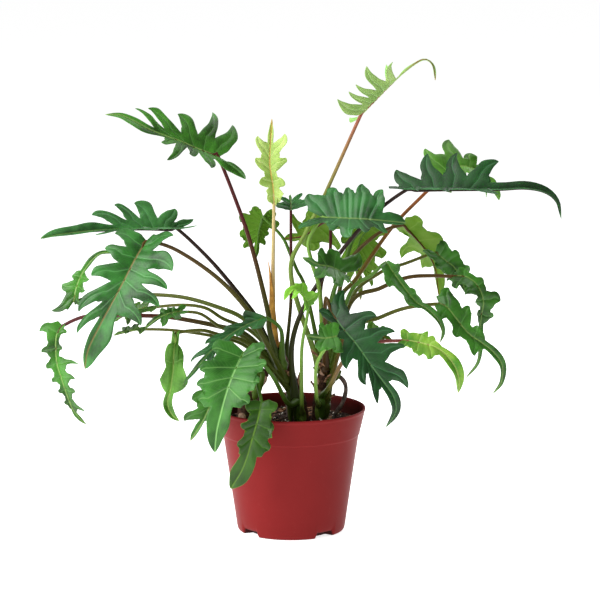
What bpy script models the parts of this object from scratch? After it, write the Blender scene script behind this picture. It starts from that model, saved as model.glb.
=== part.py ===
"""Potted xanadu philodendron: a nursery pot of soil with three stems and their deeply lobed leaves.

The origin is the middle of the pot's flat underside, +Z is up and -Y is the side that faces the viewer.
Sizes in this file are millimetres; MM turns them into the scene's metres.
"""
import math
from dataclasses import dataclass

import bmesh
import bpy
import numpy as np
from mathutils import Vector
from mathutils.bvhtree import BVHTree

MM = 0.001
NAME = "potted_xanadu_philodendron"
GAP = 0.3              # air between pieces that touch on the real plant
STALK_GAP = 0.35       # air between a stalk's foot and its stem's bark

# The pot is a 6 inch nursery pot.
RIM_RADIUS = 76.0
POT_HEIGHT = 127.0
WALL = 1.8
FLOOR = 2.2
BASE_RADIUS = 54.6
BODY_SLOPE = 0.146     # growth of the radius for each mm of height
BAND_HEIGHT = 27.0     # the straight band under the rim
BAND_STEP = 1.1        # how far the band stands out from the body
BAND_TOP_RADIUS = 75.2
CORNER = 3.0           # rounding between the side and the underside
POT_SIDES = 56

# Four raised notches round the edge of the underside let the water out.
NOTCHES = 4
NOTCH_TURN = math.radians(-50)   # the first notch, counted from the front
NOTCH_WIDTH = 25.0
NOTCH_TAPER = 3.0      # how much narrower each side is at the top
NOTCH_HEIGHT = 5.6
NOTCH_DEPTH = 11.0
DRAIN_RADIUS = 3.4

SOIL_TOP = 112.0
SOIL_LUMP = 1.6
SOIL_RINGS = 5
SOIL_SIDES = 32

# Stems and roots.
STEM_STEPS = 12
STEM_RINGS = 5         # old leaf rings along a stem
ROD_SIDES = 12
SCAR_RADIUS = 3.4
SCAR_HEIGHT = 1.3
ROOT_RADIUS = 2.2
ROOT_STEPS = 9
ROOT_FOOT = 84.0       # how deep stems and roots reach into the soil
HOLE_ROOM = GAP + 0.25

# Leaves.
BLADE = 0.8            # thickness of a blade
STALK_RADIUS = 1.8
STALK_END_RADIUS = 1.45
STALK_STEPS = 3        # tube pieces besides one for each listed place
FOOT_LENGTH = 5.0      # how far a stalk's foot runs along its stem
SEAT_STEPS = 3
UNDER_RIB = ((0.05, 1.2, 0.5), (0.15, 0.8, 0.4))   # share of the rib, radius, distance below it
SHOULDERS = ((0.38, 0.95, 0.85), (0.78, 0.60, 0.40))   # share of a lobe, its width behind and before
SHORT_SHOULDERS = ((0.55, 0.85, 0.70),)   # the same for a lobe shorter than SHORT_LOBE
SHORT_LOBE = 15.0
BOW = 0.13             # how far a lobe's middle line bows back, as a share of its length
END_SHOULDERS = (0.42, 0.78)   # where the end lobe's edge has corners, as shares of its length
END_WIDTH = 0.105      # half width of the end lobe for each mm of rib
MAX_HALF_WIDTH = 8.5
ROOM_SHARE = 0.80      # of the room between the rays beside a lobe, how much it fills
NECK_SHARE = 0.62      # its greatest half width, as a share of its neck
MIN_REACH = 5.0
MAX_REACH = 74.0
MARGIN = 0.7           # from the end lobe's edge to the ray before it
LEAN = 0.6             # how far a lobe's tip leads its base, for each mm that it reaches out
FAN = math.radians(4)  # least change of angle from lobe to lobe
LEAST_ANGLE = math.radians(12)
MOST_ANGLE = math.radians(155)
BACK_ROOM = math.radians(25)   # the room behind the first lobe
BACK_SHARE = 0.6       # depth of the web behind the first lobe, as a share of the other cuts'
END_ANGLE_SHARE = 0.6  # angle of the ray before the end lobe, as a share of the last lobe's
CAMBER = 0.22          # slope of a blade beside its rib, beyond its fold
CAMBER_SPAN = 45.0     # how far out the blade is back at its own plane
FLATTEN_STEPS = 12
FLATTEN_STRIDE = 20.0

# Places on the plant are given as seen from the front: (across, up) on the plane through the
# pot's axis and, third, how far behind that plane they lie. The eye turns them into real places.
EYE = np.array((9.0, -2800.0, 700.0))

TONES = {
    "mid": (0.035, 0.16, 0.022),
    "blue": (0.022, 0.14, 0.060),
    "dark": (0.010, 0.075, 0.035),
    "deep": (0.045, 0.15, 0.006),
    "fresh": (0.085, 0.27, 0.022),
    "bright": (0.09, 0.36, 0.065),
    "lime": (0.33, 0.52, 0.045),
    "pale": (0.23, 0.43, 0.10),
    "olive": (0.085, 0.20, 0.010),
}
POT_COLOUR = (0.37, 0.035, 0.030)
SOIL_COLOUR = (0.035, 0.018, 0.012)
STEM_COLOUR = (0.085, 0.048, 0.022)


@dataclass
class Stem:
    """A woody stem: its route as (x, y, z), its radius at both ends, its leaf scars and its roots.

    A scar is (share of the way up, turn in degrees round the stem from the front). A root is a
    route from inside the stem down into the soil.
    """
    name: str
    route: list
    foot: float
    top: float
    scars: list
    roots: list


STEMS = {
    "left": Stem("stem_left", [(-46, -16, 84), (-46, -16, 118), (-45, -16, 134), (-36, -13, 152),
                               (-27, -8, 168)], 8.0, 7.5,
                 [(0.42, -25), (0.62, 70), (0.74, -20), (0.88, 35)], []),
    "middle": Stem("stem_middle", [(12, 4, 84), (12, 4, 118), (6, 4, 142), (-6, 3, 168), (-15, 2, 190)],
                   6.5, 5.0, [(0.5, 200), (0.7, 140)],
                   [[(-4, 4, 166), (-3, 15, 158), (-3, 18, 140), (-3, 18, 118), (-3, 18, 84)]]),
    "right": Stem("stem_right", [(28, 14, 84), (28, 14, 118), (31, 12, 140), (35, 9, 166), (36, 6, 194)],
                  7.0, 6.0, [(0.5, -30), (0.61, -70), (0.72, -15)],
                  [[(36, 10, 160), (50, 8, 156), (56, 6, 146), (53, 4, 131), (44.3, 4, 116),
                    (44, 4, 104), (44, 4, 84)]]),
}


@dataclass
class Leaf:
    """One leaf on its stalk, as seen from the front.

    stalk and rib run from the stem to the blade's tip through (across, up, depth) places. The lobes
    are pairs of tips (across, up), from the stalk's end to the tip; None copies the other side.
    face and tip_face are the ways that the blade's upper side looks at its two ends, fold is the
    angle that each half is raised by, and wide scales the lobes' width. ends is the share of the
    rib where the end lobe begins, cut the share of a lobe's length that is web, and end scales the
    end lobe's width, which runs out to the tip sooner with a smaller taper.
    """
    name: str
    tone: str
    stem: str
    height: float
    stalk: list
    rib: list
    lobes: list
    face: tuple
    tip_face: tuple = None
    fold: float = 10.0
    wide: float = 1.0
    ends: float = 0.55
    cut: float = 0.5
    end: float = 1.0
    taper: float = 3.0


LEAVES = [
    Leaf("top_left", "mid", stem="middle", height=173,
         stalk=[(-22, 207, -14), (-23, 223, -12), (-36, 278, -6), (-49, 321, -8)],
         rib=[(-72, 383, -15), (-95, 392, -21), (-111, 399, -25), (-138, 409, -29), (-159, 420, -32),
              (-171, 425, -33), (-186, 426, -34)],
         face=(0, -0.7, 0.7), fold=5, wide=1, ends=0.42, cut=0.4, end=0.75, taper=2,
         lobes=[((-58, 416), (-41, 387)), ((-77, 430), (-80, 372)), ((-113, 427), (-102, 386)),
                ((-143, 432), (-124, 381)), ((-159, 428), (-130, 398))]),
    Leaf("left_upper", "blue", stem="middle", height=177,
         stalk=[(-29, 206, -3), (-39, 225, -10), (-77, 273, -20)],
         rib=[(-113, 310, -30), (-156, 310, -40), (-198, 308, -48), (-233, 304, -52), (-253, 300, -54)],
         face=(0, -0.35, 0.94), tip_face=(0, -0.7, 0.7), fold=28, wide=1.1, ends=0.34, cut=0.42, end=1.25,
         lobes=[((-96, 313), None), ((-117, 330), None), ((-158, 336), None), ((-178, 335), None),
                ((-201, 327), None)]),
    Leaf("left_face", "blue", stem="middle", height=160,
         stalk=[(-29, 201, -26), (-47, 231, -22), (-77, 262, -41), (-117, 289, -72)],
         rib=[(-146, 298, -85), (-158, 278, -98), (-170, 255, -105), (-183, 231, -108),
              (-195, 209, -109), (-206, 186, -107), (-210, 166, -102)],
         face=(-0.2, -0.85, 0.45), tip_face=(-0.3, -0.93, 0.1), fold=8,
         wide=1.1, ends=0.44, cut=0.44, end=1.13,
         lobes=[((-178, 306), (-119, 305)), ((-189, 291), (-120, 267)), ((-202, 262), (-125, 250)),
                ((-216, 225), (-133, 233)), ((-214, 200), (-153, 211))]),
    Leaf("far_left_back", "mid", stem="middle", height=189,
         stalk=[(-47, 217, 6), (-72, 229, 12), (-110, 240, 26), (-153, 243, 40), (-193, 243, 48)],
         rib=[(-220, 236, 52), (-217, 251, 56), (-209, 268, 60), (-194, 284, 64), (-177, 286, 66)],
         face=(-0.5, -0.8, 0.2), tip_face=(-0.3, -0.5, 0.8), fold=10,
         wide=0.55, ends=0.4, cut=0.6, end=0.9,
         lobes=[((-242, 226), (-214, 235)), ((-232, 254), (-209, 247)), ((-222, 262), (-205, 259))]),
    Leaf("far_left", "mid", stem="middle", height=168,
         stalk=[(-45, 201, 9), (-73, 210, 2), (-120, 219, 0), (-151, 221, -5), (-204, 221, 2)],
         rib=[(-232, 211, 5), (-238, 201, 3), (-239, 186, 1), (-238, 171, -1), (-234, 157, -2),
              (-229, 141, -1), (-223, 125, 1), (-216, 115, 3), (-209, 108, 4)],
         face=(-0.45, -0.88, 0.15), fold=10, wide=0.42, ends=0.78, cut=0.5, end=0.6, taper=2,
         lobes=[((-256, 205), (-228, 203)), ((-254, 190), (-233, 186)), ((-249, 176), (-230, 173)),
                ((-245, 160), (-215, 174)), ((-236, 141), (-223, 151)), ((-229, 130), (-211, 121))]),
    Leaf("left_hanging", "fresh", stem="middle", height=146,
         stalk=[(-42, 191, -24), (-75, 202, -28), (-92, 206, -34)],
         rib=[(-117, 203, -40), (-119, 186, -44), (-120, 165, -46), (-123, 144, -46), (-126, 131, -45),
              (-122, 119, -44), (-114, 112, -44)],
         face=(0.2, -0.95, 0.2), fold=6, wide=3, ends=0.62, cut=0.78, end=0.17,
         lobes=[((-128, 174), (-109, 176))]),
    Leaf("left_twist", "fresh", stem="middle", height=157,
         stalk=[(-44, 196, -5), (-71, 209, -14), (-92, 223, -20)],
         rib=[(-111, 226, -24), (-125, 223, -28), (-137, 217, -30), (-148, 208, -30)],
         face=(-0.1, -0.6, 0.8), fold=10, wide=0.8, ends=0.45, cut=0.7, end=1,
         lobes=[((-106, 230), None), ((-120, 230), (-117, 218)), ((-133, 224), (-131, 210))]),
    Leaf("left_tucked", "dark", stem="middle", height=182,
         stalk=[(-42, 206, 20), (-69, 218, 18), (-87, 229, 18), (-112, 232, 22)],
         rib=[(-147, 230, 30), (-163, 225, 38), (-182, 214, 44)],
         face=(-0.1, -0.5, 0.85), fold=12, wide=0.9, ends=0.6, cut=0.6, end=1,
         lobes=[((-143, 237), (-141, 223)), ((-157, 235), (-153, 218)), ((-173, 229), (-166, 211))]),
    Leaf("left_low", "dark", stem="middle", height=146,
         stalk=[(-44, 188, 8), (-75, 199, -2), (-120, 206, -2)],
         rib=[(-156, 208, 0), (-167, 205, 4), (-180, 201, 6)],
         face=(-0.1, -0.5, 0.85), fold=25, wide=0.8, ends=0.6, cut=0.6, end=1,
         lobes=[((-155, 213), (-154, 202)), ((-166, 210), (-166, 197))]),
    Leaf("left_inner", "blue", stem="middle", height=176,
         stalk=[(-10, 206, -16)],
         rib=[(-25, 220, -28), (-50, 209, -43), (-73, 193, -50), (-92, 172, -55), (-110, 150, -57)],
         face=(-0.3, -0.6, 0.75), fold=8, wide=1.2, ends=0.55, cut=0.7, end=1,
         lobes=[((-47, 217), (-40, 208)), ((-69, 211), (-43, 203)), ((-85, 188), (-55, 190)),
                ((-103, 173), (-78, 167))]),
    Leaf("front_left", "bright", stem="middle", height=133,
         stalk=[(-3, 130, -26), (-17, 156, -50), (-29, 172, -60), (-40, 181, -63)],
         rib=[(-48, 184, -64), (-55, 169, -71), (-61, 155, -77), (-67, 137, -81), (-72, 118, -83),
              (-76, 100, -84), (-78, 79, -84)],
         face=(-0.2, -0.92, 0.3), fold=5, wide=1.2, ends=0.42, cut=0.84, end=1, taper=2,
         lobes=[((-80, 187), (-27, 187)), ((-92, 164), (-25, 171)), ((-96, 149), (-33, 152)),
                ((-95, 134), (-44, 130))]),
    Leaf("front_left_low", "mid", stem="left", height=150,
         stalk=[(-29, 163, -30), (-47, 161, -42)],
         rib=[(-65, 149, -52), (-80, 132, -58), (-90, 112, -60), (-103, 91, -60)],
         face=(-0.2, -0.92, 0.3), fold=6, wide=1.1, ends=0.5, cut=0.65, end=1,
         lobes=[((-80, 154), (-59, 136)), ((-101, 134), (-70, 121)), ((-109, 112), (-86, 108))]),
    Leaf("front_pot", "deep", stem="left", height=165,
         stalk=[(-35, 170, -46), (-35, 157, -66)],
         rib=[(-30, 132, -83), (-34, 113, -89), (-40, 92, -92), (-45, 74, -94), (-51, 59, -93),
              (-62, 41, -90)],
         face=(0.05, -0.98, 0.15), fold=6, wide=1.2, ends=0.45, cut=0.88, end=0.95,
         lobes=[((-44, 122), (-17, 122)), ((-48, 103), (-17, 106)), ((-57, 92), (-23, 81))]),
    Leaf("new_leaf", "lime", stem="middle", height=200,
         stalk=[(-18, 225, 1), (-18, 247, 0), (-18, 279, 0)],
         rib=[(-17, 337, 0), (-18, 353, 0), (-21, 373, 0), (-21, 388, 0), (-19, 421, -2)],
         face=(0, -0.9, 0.4), tip_face=(0, -1, 0.1), fold=14,
         wide=1.1, ends=0.6, cut=0.7, end=1.1, taper=1.3,
         lobes=[((-24, 342), (-10, 339)), ((-29, 362), (-11, 362)), ((-35, 382), (-5, 382)),
                ((-33, 404), (-6, 406))]),
    Leaf("top_right", "pale", stem="right", height=172,
         stalk=[(0, 263, 5), (15, 306, 6), (33, 342, 7)],
         rib=[(72, 426, 10), (82, 436, 12), (100, 454, 14), (116, 469, 17), (132, 480, 19),
              (141, 475, 20), (144, 460, 19)],
         face=(0.3, -0.5, -0.8), tip_face=(-0.45, 0.3, -0.5), fold=-35,
         wide=0.75, ends=0.4, cut=0.36, end=0.6, taper=2,
         lobes=[((49, 439), None), ((60, 447), None), ((67, 454), None), ((77, 473), None),
                ((102, 478), None)]),
    Leaf("right_long", "dark", stem="middle", height=140,
         stalk=[(1, 191, -9), (16, 235, -7), (51, 287, -6), (83, 324, -11)],
         rib=[(115, 350, -12), (152, 350, -20), (180, 350, -25), (211, 350, -28), (236, 351, -30),
              (256, 347, -30), (268, 337, -29), (273, 320, -28)],
         face=(0, -0.35, 0.94), tip_face=(0, -0.6, 0.8), fold=30,
         wide=0.9, ends=0.42, cut=0.34, end=0.53, taper=1.4,
         lobes=[((106, 372), None), ((138, 385), None), ((167, 389), None), ((209, 380), None)]),
    Leaf("right_back", "fresh", stem="right", height=172,
         stalk=[(50, 237, 14), (66, 259, 28), (101, 310, 38), (132, 343, 44)],
         rib=[(153, 364, 48), (168, 373, 56), (184, 371, 64), (200, 358, 70), (210, 339, 72)],
         face=(0.1, -0.5, 0.85), fold=15, wide=0.9, ends=0.6, cut=0.5, end=0.8,
         lobes=[((135, 392), (162, 347)), ((159, 401), (172, 351)), ((178, 388), (180, 353)),
                ((197, 372), (191, 343))]),
    Leaf("centre_right", "blue", stem="right", height=187,
         stalk=[(29, 247, -12), (21, 276, -17), (18, 298, -17)],
         rib=[(31, 322, -18), (53, 321, -24), (75, 320, -30), (95, 318, -32), (116, 316, -32)],
         face=(0, -0.8, 0.6), fold=6, wide=1.1, ends=0.62, cut=0.8, end=1,
         lobes=[((18, 346), (8, 310)), ((46, 351), (36, 314)), ((58, 352), (61, 303)),
                ((72, 356), (80, 310)), ((93, 349), (98, 307))]),
    Leaf("centre_small", "blue", stem="middle", height=178,
         stalk=[(0, 237, 14), (0, 299, 14)],
         rib=[(0, 329, 14), (0, 336, 21), (-1, 345, 29)],
         face=(0, -0.8, 0.6), fold=10, wide=1.1, ends=0.55, cut=0.6, end=1,
         lobes=[((-15, 337), (18, 342)), ((-10, 343), (11, 347))]),
    Leaf("centre_back", "olive", stem="right", height=190,
         stalk=[(30, 247, 20), (38, 276, 26), (40, 293, 28)],
         rib=[(40, 321, 32), (27, 313, 44), (13, 303, 50), (-7, 300, 54)],
         face=(0.2, 0.8, 0.5), fold=8, wide=1.1, ends=0.65, cut=0.75, end=1,
         lobes=[((52, 309), (35, 333)), ((47, 288), (15, 325)), ((25, 288), (-1, 323))]),
    Leaf("centre_left", "deep", stem="right", height=183,
         stalk=[(15, 248, 15), (6, 268, 20), (-1, 285, 24), (-9, 302, 28)],
         rib=[(-28, 323, 32), (-32, 309, 40), (-34, 293, 42), (-36, 278, 40)],
         face=(0.1, 0.9, 0.3), fold=6, wide=1.2, ends=0.5, cut=0.85, end=1.2,
         lobes=[((-39, 332), (-22, 331)), ((-51, 317), (-19, 310)), ((-51, 302), (-24, 303)),
                ((-47, 290), (-27, 293))]),
    Leaf("back_hanging", "olive", stem="right", height=182,
         stalk=[(41, 237, 26), (55, 276, 38), (64, 301, 42)],
         rib=[(82, 315, 45), (70, 299, 56), (67, 276, 60), (70, 256, 60), (71, 237, 57)],
         face=(0.2, 0.85, 0.4), fold=8, wide=1.2, ends=0.5, cut=0.85, end=1.1,
         lobes=[((62, 317), (94, 303)), ((52, 295), (92, 280)), ((53, 276), (85, 266)),
                ((58, 254), (82, 251))]),
    Leaf("right_droop_1", "olive", stem="right", height=190,
         stalk=[(55, 268, 30), (85, 303, 28)],
         rib=[(113, 315, 36), (124, 304, 44), (138, 287, 52), (147, 268, 58), (150, 242, 60)],
         face=(0.5, 0.6, 0.6), tip_face=(0.9, 0.4, 0.1), fold=6, wide=1.1, ends=0.55, cut=0.7, end=1,
         lobes=[((110, 307), (134, 318)), ((115, 282), (155, 299)), ((133, 270), (161, 276))]),
    Leaf("right_droop_2", "blue", stem="right", height=166,
         stalk=[(60, 237, 4), (90, 265, 8), (117, 275, 12)],
         rib=[(146, 286, 16), (157, 277, 22), (167, 268, 25), (178, 244, 26)],
         face=(0.2, -0.75, 0.6), tip_face=(0.6, -0.7, 0.3), fold=6, wide=0.9, ends=0.6, cut=0.8, end=1,
         lobes=[((133, 292), (158, 295)), ((148, 270), (171, 283)), ((159, 257), (181, 266))]),
    Leaf("right_droop_3", "mid", stem="right", height=158,
         stalk=[(60, 233, -8), (90, 249, -8), (117, 260, -8), (141, 262, -8)],
         rib=[(166, 262, -8), (177, 261, -10), (188, 253, -12), (195, 237, -12), (193, 219, -12),
              (192, 201, -12), (192, 186, -12), (189, 171, -11), (178, 156, -10)],
         face=(0.3, -0.7, 0.6), tip_face=(0.7, -0.7, 0.1), fold=8,
         wide=0.7, ends=0.5, cut=0.65, end=0.4, taper=2,
         lobes=[((168, 249), (177, 269)), ((177, 243), (188, 261)), ((187, 236), (202, 256)),
                ((189, 222), (201, 234))]),
    Leaf("right_droop_4", "deep", stem="right", height=134,
         stalk=[(55, 202, -10), (90, 219, -14), (117, 229, -16)],
         rib=[(150, 234, -20), (158, 230, -25), (167, 219, -28), (180, 203, -30), (194, 193, -30),
              (207, 182, -29), (215, 169, -28), (214, 152, -27), (206, 140, -26)],
         face=(0.2, -0.85, 0.5), tip_face=(0.6, -0.8, 0.1), fold=8,
         wide=0.8, ends=0.48, cut=0.6, end=0.5, taper=2,
         lobes=[((153, 217), (160, 250)), ((168, 199), (171, 233)), ((182, 181), (186, 211))]),
    Leaf("right_twist", "mid", stem="right", height=176,
         stalk=[(60, 244, -20), (82, 263, -30)],
         rib=[(96, 276, -34), (106, 262, -39), (117, 247, -43), (127, 235, -45), (138, 228, -46),
              (149, 217, -47), (154, 205, -47), (152, 193, -47)],
         face=(0.2, -0.8, 0.5), tip_face=(0.7, -0.7, 0.1), fold=20,
         wide=0.9, ends=0.5, cut=0.8, end=0.5, taper=2,
         lobes=[((101, 251), (109, 266)), ((113, 238), (127, 245))]),
    Leaf("right_young", "lime", stem="right", height=138,
         stalk=[(40, 149, -44), (57, 179, -52), (85, 193, -52)],
         rib=[(113, 196, -50), (123, 195, -52), (136, 192, -54), (148, 188, -56), (159, 179, -57),
              (167, 168, -57), (171, 155, -57), (171, 141, -56)],
         face=(0.1, -0.8, 0.6), tip_face=(0.6, -0.8, 0.1), fold=10,
         wide=0.9, ends=0.35, cut=0.93, end=0.9,
         lobes=[((115, 188), (119, 205)), ((123, 184), (132, 203)), ((144, 177), (147, 196))]),
    Leaf("dark_front", "dark", stem="right", height=172,
         stalk=[(35, 237, -34)],
         rib=[(41, 225, -48), (52, 209, -60), (67, 191, -70), (82, 169, -76), (93, 154, -80),
              (104, 138, -82), (107, 122, -81), (97, 105, -78)],
         face=(0.1, -0.9, 0.4), tip_face=(0.4, -0.9, 0.1), fold=8,
         wide=0.85, ends=0.52, cut=0.45, end=0.6, taper=1.6,
         lobes=[((28, 226), (54, 248)), ((38, 205), (87, 220)), ((57, 166), (102, 213)),
                ((77, 150), (116, 189)), ((88, 130), (119, 146))]),
    Leaf("front_centre", "mid", stem="right", height=127,
         stalk=[(26, 138, -42), (26, 170, -60), (38, 191, -70)],
         rib=[(47, 200, -75), (34, 198, -80), (16, 200, -82)],
         face=(0, -0.85, 0.5), fold=8, wide=1.2, ends=0.5, cut=0.85, end=1.1,
         lobes=[((44, 184), (42, 214)), ((28, 184), (28, 211))]),
    Leaf("young_left", "bright", stem="middle", height=121,
         stalk=[(11, 134, -34), (11, 186, -38), (16, 217, -36)],
         rib=[(19, 231, -38), (12, 243, -44), (3, 248, -50), (-7, 237, -54)],
         face=(0, -0.6, 0.8), fold=14, wide=1.1, ends=0.5, cut=0.6, end=1,
         lobes=[((27, 245), (9, 233)), ((12, 255), (0, 239))]),
    Leaf("centre_face", "blue", stem="right", height=184,
         stalk=[(44, 245, -20)],
         rib=[(54, 265, -26), (41, 271, -38), (26, 274, -46), (12, 281, -50)],
         face=(0, -0.75, 0.65), fold=8, wide=1.2, ends=0.55, cut=0.75, end=1.1,
         lobes=[((69, 286), (62, 254)), ((47, 288), (43, 255)), ((27, 285), (23, 261))]),
    Leaf("behind_dark", "olive", stem="right", height=121,
         stalk=[(55, 201, -24), (67, 205, -32)],
         rib=[(78, 205, -36), (90, 201, -40), (103, 194, -43)],
         face=(0.1, -0.75, 0.65), fold=8, wide=1.2, ends=0.6, cut=0.72, end=1,
         lobes=[((82, 196), (84, 214)), ((95, 193), (97, 208))]),
]


def sight(across, up, depth):
    """The real place that is seen at (across, up) and lies depth behind the pot's axis."""
    share = (depth - EYE[1]) / -EYE[1]
    return EYE + (np.array((across, 0.0, up)) - EYE) * share


def front_view(place):
    """Where a real place is seen, as (across, up)."""
    share = EYE[1] / (EYE[1] - place[1])
    return (EYE + (place - EYE) * share)[[0, 2]]


def unit(vector):
    return vector / np.linalg.norm(vector)


class Path:
    """A smooth curve through given places, measured by its own length from 0 to 1."""

    PIECES = 12

    def __init__(self, places):
        places = np.array(places, float)
        ends = np.vstack((2 * places[0] - places[1], places, 2 * places[-1] - places[-2]))
        steps = np.linspace(0, 1, self.PIECES, endpoint=False)[:, None]
        dense = []
        for before, start, stop, after in zip(ends, ends[1:], ends[2:], ends[3:]):
            dense.append(0.5 * (2 * start + (stop - before) * steps
                                + (2 * before - 5 * start + 4 * stop - after) * steps ** 2
                                + (3 * start - before - 3 * stop + after) * steps ** 3))
        self.dense = np.vstack(dense + [places[-1:]])
        lengths = np.linalg.norm(np.diff(self.dense, axis=0), axis=1)
        self.length = lengths.sum()
        self.marks = np.concatenate(((0.0,), np.cumsum(lengths))) / self.length

    def at(self, share):
        return np.array([np.interp(share, self.marks, column) for column in self.dense.T])

    def along(self, share):
        reach = 0.02
        return unit(self.at(min(share + reach, 1.0)) - self.at(max(share - reach, 0.0)))


def new_collection(name):
    collection = bpy.data.collections.new(name)
    bpy.context.scene.collection.children.link(collection)
    return collection


def finish(thing, name, colour, roughness):
    """Give an object its own material."""
    material = bpy.data.materials.new(name)
    material.use_nodes = True
    shader = material.node_tree.nodes["Principled BSDF"]
    shader.inputs["Base Color"].default_value = (*colour, 1.0)
    shader.inputs["Roughness"].default_value = roughness
    shader.inputs["Metallic"].default_value = 0.0
    thing.data.materials.append(material)


def add_object(name, mesh, collection):
    mesh.name = name
    thing = bpy.data.objects.new(name, mesh)
    collection.objects.link(thing)
    return thing


def mesh_object(name, places, edges, faces, collection):
    """A new object from places in mm with the edges or faces between them."""
    mesh = bpy.data.meshes.new(name)
    mesh.from_pydata([tuple(np.array(place) * MM) for place in places], edges, faces)
    mesh.update()
    return add_object(name, mesh, collection)


def applied(thing):
    """The object's mesh with its modifiers applied."""
    bpy.context.view_layer.update()
    return bpy.data.meshes.new_from_object(thing.evaluated_get(bpy.context.evaluated_depsgraph_get()))


def cutter(thing):
    """Hide a helper object from the render and show it as wire."""
    thing.hide_render = True
    thing.display_type = "WIRE"
    return thing


def boolean(thing, operation, other):
    step = thing.modifiers.new(f"{operation} {other.name}".lower(), "BOOLEAN")
    step.operation = operation
    step.object = other


def turned(name, profile, collection):
    """A solid turned from a profile of (radius, height) down its outer side, axis to axis."""
    edges = [(step, step + 1) for step in range(len(profile) - 1)]
    thing = mesh_object(name, [(radius, 0, height) for radius, height in profile], edges, [], collection)
    screw = thing.modifiers.new("turn", "SCREW")
    screw.steps = screw.render_steps = POT_SIDES
    screw.use_merge_vertices = True
    screw.merge_threshold = 0.01 * MM
    return thing


def tube(name, places, radii, roundness, collection):
    """A closed tube along places in mm, as a mesh; roundness is the curve's bevel resolution."""
    curve = bpy.data.curves.new(name, "CURVE")
    curve.dimensions = "3D"
    curve.bevel_depth = MM
    curve.bevel_resolution = roundness
    curve.use_fill_caps = True
    spline = curve.splines.new("POLY")
    spline.points.add(len(places) - 1)
    for point, place, radius in zip(spline.points, places, radii):
        point.co = (*(np.array(place) * MM), 1.0)
        point.radius = radius
    wire = bpy.data.objects.new(name, curve)
    collection.objects.link(wire)
    mesh = applied(wire)
    bpy.data.objects.remove(wire)
    form = bmesh.new()
    form.from_mesh(mesh)
    bmesh.ops.remove_doubles(form, verts=form.verts, dist=0.01 * MM)
    bmesh.ops.recalc_face_normals(form, faces=form.faces)
    form.to_mesh(mesh)
    form.free()
    return add_object(name, mesh, collection)


def rods(name, places, radii, low, high, collection):
    """Upright cylinders in one mesh, at (x, y) places in mm, from low to high."""
    form = bmesh.new()
    for (across, back), radius in zip(places, radii):
        made = bmesh.ops.create_cone(form, cap_ends=True, segments=ROD_SIDES, radius1=radius * MM,
                                     radius2=radius * MM, depth=(high - low) * MM)
        middle = Vector((across, back, (low + high) / 2)) * MM
        bmesh.ops.translate(form, verts=made["verts"], vec=middle)
    mesh = bpy.data.meshes.new(name)
    form.to_mesh(mesh)
    form.free()
    return cutter(add_object(name, mesh, collection))


def body_radius(height):
    return BASE_RADIUS + BODY_SLOPE * height


def notch_turns():
    return [NOTCH_TURN + number * math.tau / NOTCHES for number in range(NOTCHES)]


def notch_blocks(name, grow, collection):
    """A block for each notch, narrower at its top; grow leaves room for what wraps it."""
    places, faces = [], []
    sides = ((0, 1, 2, 3), (7, 6, 5, 4), (4, 5, 1, 0), (5, 6, 2, 1), (6, 7, 3, 2), (7, 4, 0, 3))
    outer = BASE_RADIUS + NOTCH_DEPTH
    for turn in notch_turns():
        outward = np.array((math.sin(turn), -math.cos(turn), 0.0))
        sideways = np.array((math.cos(turn), math.sin(turn), 0.0))
        faces += [[len(places) + corner for corner in side] for side in sides]
        for height, taper in ((-NOTCH_HEIGHT, -NOTCH_TAPER), (NOTCH_HEIGHT + grow, NOTCH_TAPER)):
            half = NOTCH_WIDTH / 2 - taper + grow
            inner = BASE_RADIUS - NOTCH_DEPTH + taper / 2 - grow
            for side, radius in ((-half, inner), (half, inner), (half, outer), (-half, outer)):
                places.append(outward * radius + sideways * side + np.array((0.0, 0.0, height)))
    return cutter(mesh_object(name, places, [], faces, collection))


def hollow_profile(gap, top):
    """The pot's hollow up to a height, smaller by a gap on every side."""
    side = WALL + gap
    floor = FLOOR + gap
    band = POT_HEIGHT - BAND_HEIGHT
    return [(0, top), (body_radius(top) - side, top), (body_radius(band) - side, band - 1.0),
            (body_radius(floor + CORNER) - side, floor + CORNER),
            (body_radius(floor) - side - CORNER * 0.8, floor), (0, floor)]


def build_pot(parts, cutters):
    """The nursery pot: a band under the rim, a flat underside and four raised, drained notches."""
    band = POT_HEIGHT - BAND_HEIGHT
    pot = turned("pot", [
        (0, POT_HEIGHT), (RIM_RADIUS - 0.6, POT_HEIGHT), (RIM_RADIUS, POT_HEIGHT - 0.6),
        (RIM_RADIUS - 0.1, POT_HEIGHT - 2.4), (BAND_TOP_RADIUS, POT_HEIGHT - 3.2),
        (body_radius(band) + BAND_STEP, band + 0.6), (body_radius(band) + BAND_STEP - 0.5, band),
        (body_radius(band), band - 0.3), (body_radius(CORNER), CORNER),
        (body_radius(0) - 0.9, 0.9), (body_radius(0) - CORNER, 0), (0, 0)], parts)
    above = POT_HEIGHT + 5.0
    mouth = RIM_RADIUS - WALL - 0.7
    hollow = turned("hollow", [
        (0, above), (mouth, above), (mouth, POT_HEIGHT - 1.5), (BAND_TOP_RADIUS - WALL, POT_HEIGHT - 4.0),
        (body_radius(band) + BAND_STEP - WALL, band + 2.0)] + hollow_profile(0.0, band)[2:], cutters)
    boolean(cutter(hollow), "DIFFERENCE", notch_blocks("notch_walls", WALL, cutters))
    boolean(pot, "DIFFERENCE", notch_blocks("notches", 0.0, cutters))
    boolean(pot, "DIFFERENCE", hollow)
    middle = BASE_RADIUS - NOTCH_DEPTH / 2
    places = [(middle * math.sin(turn), -middle * math.cos(turn)) for turn in notch_turns()]
    boolean(pot, "DIFFERENCE", rods("drains", places, [DRAIN_RADIUS] * NOTCHES, -10.0, 12.0, cutters))
    finish(pot, "red_brown_plastic", POT_COLOUR, 0.45)


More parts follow.
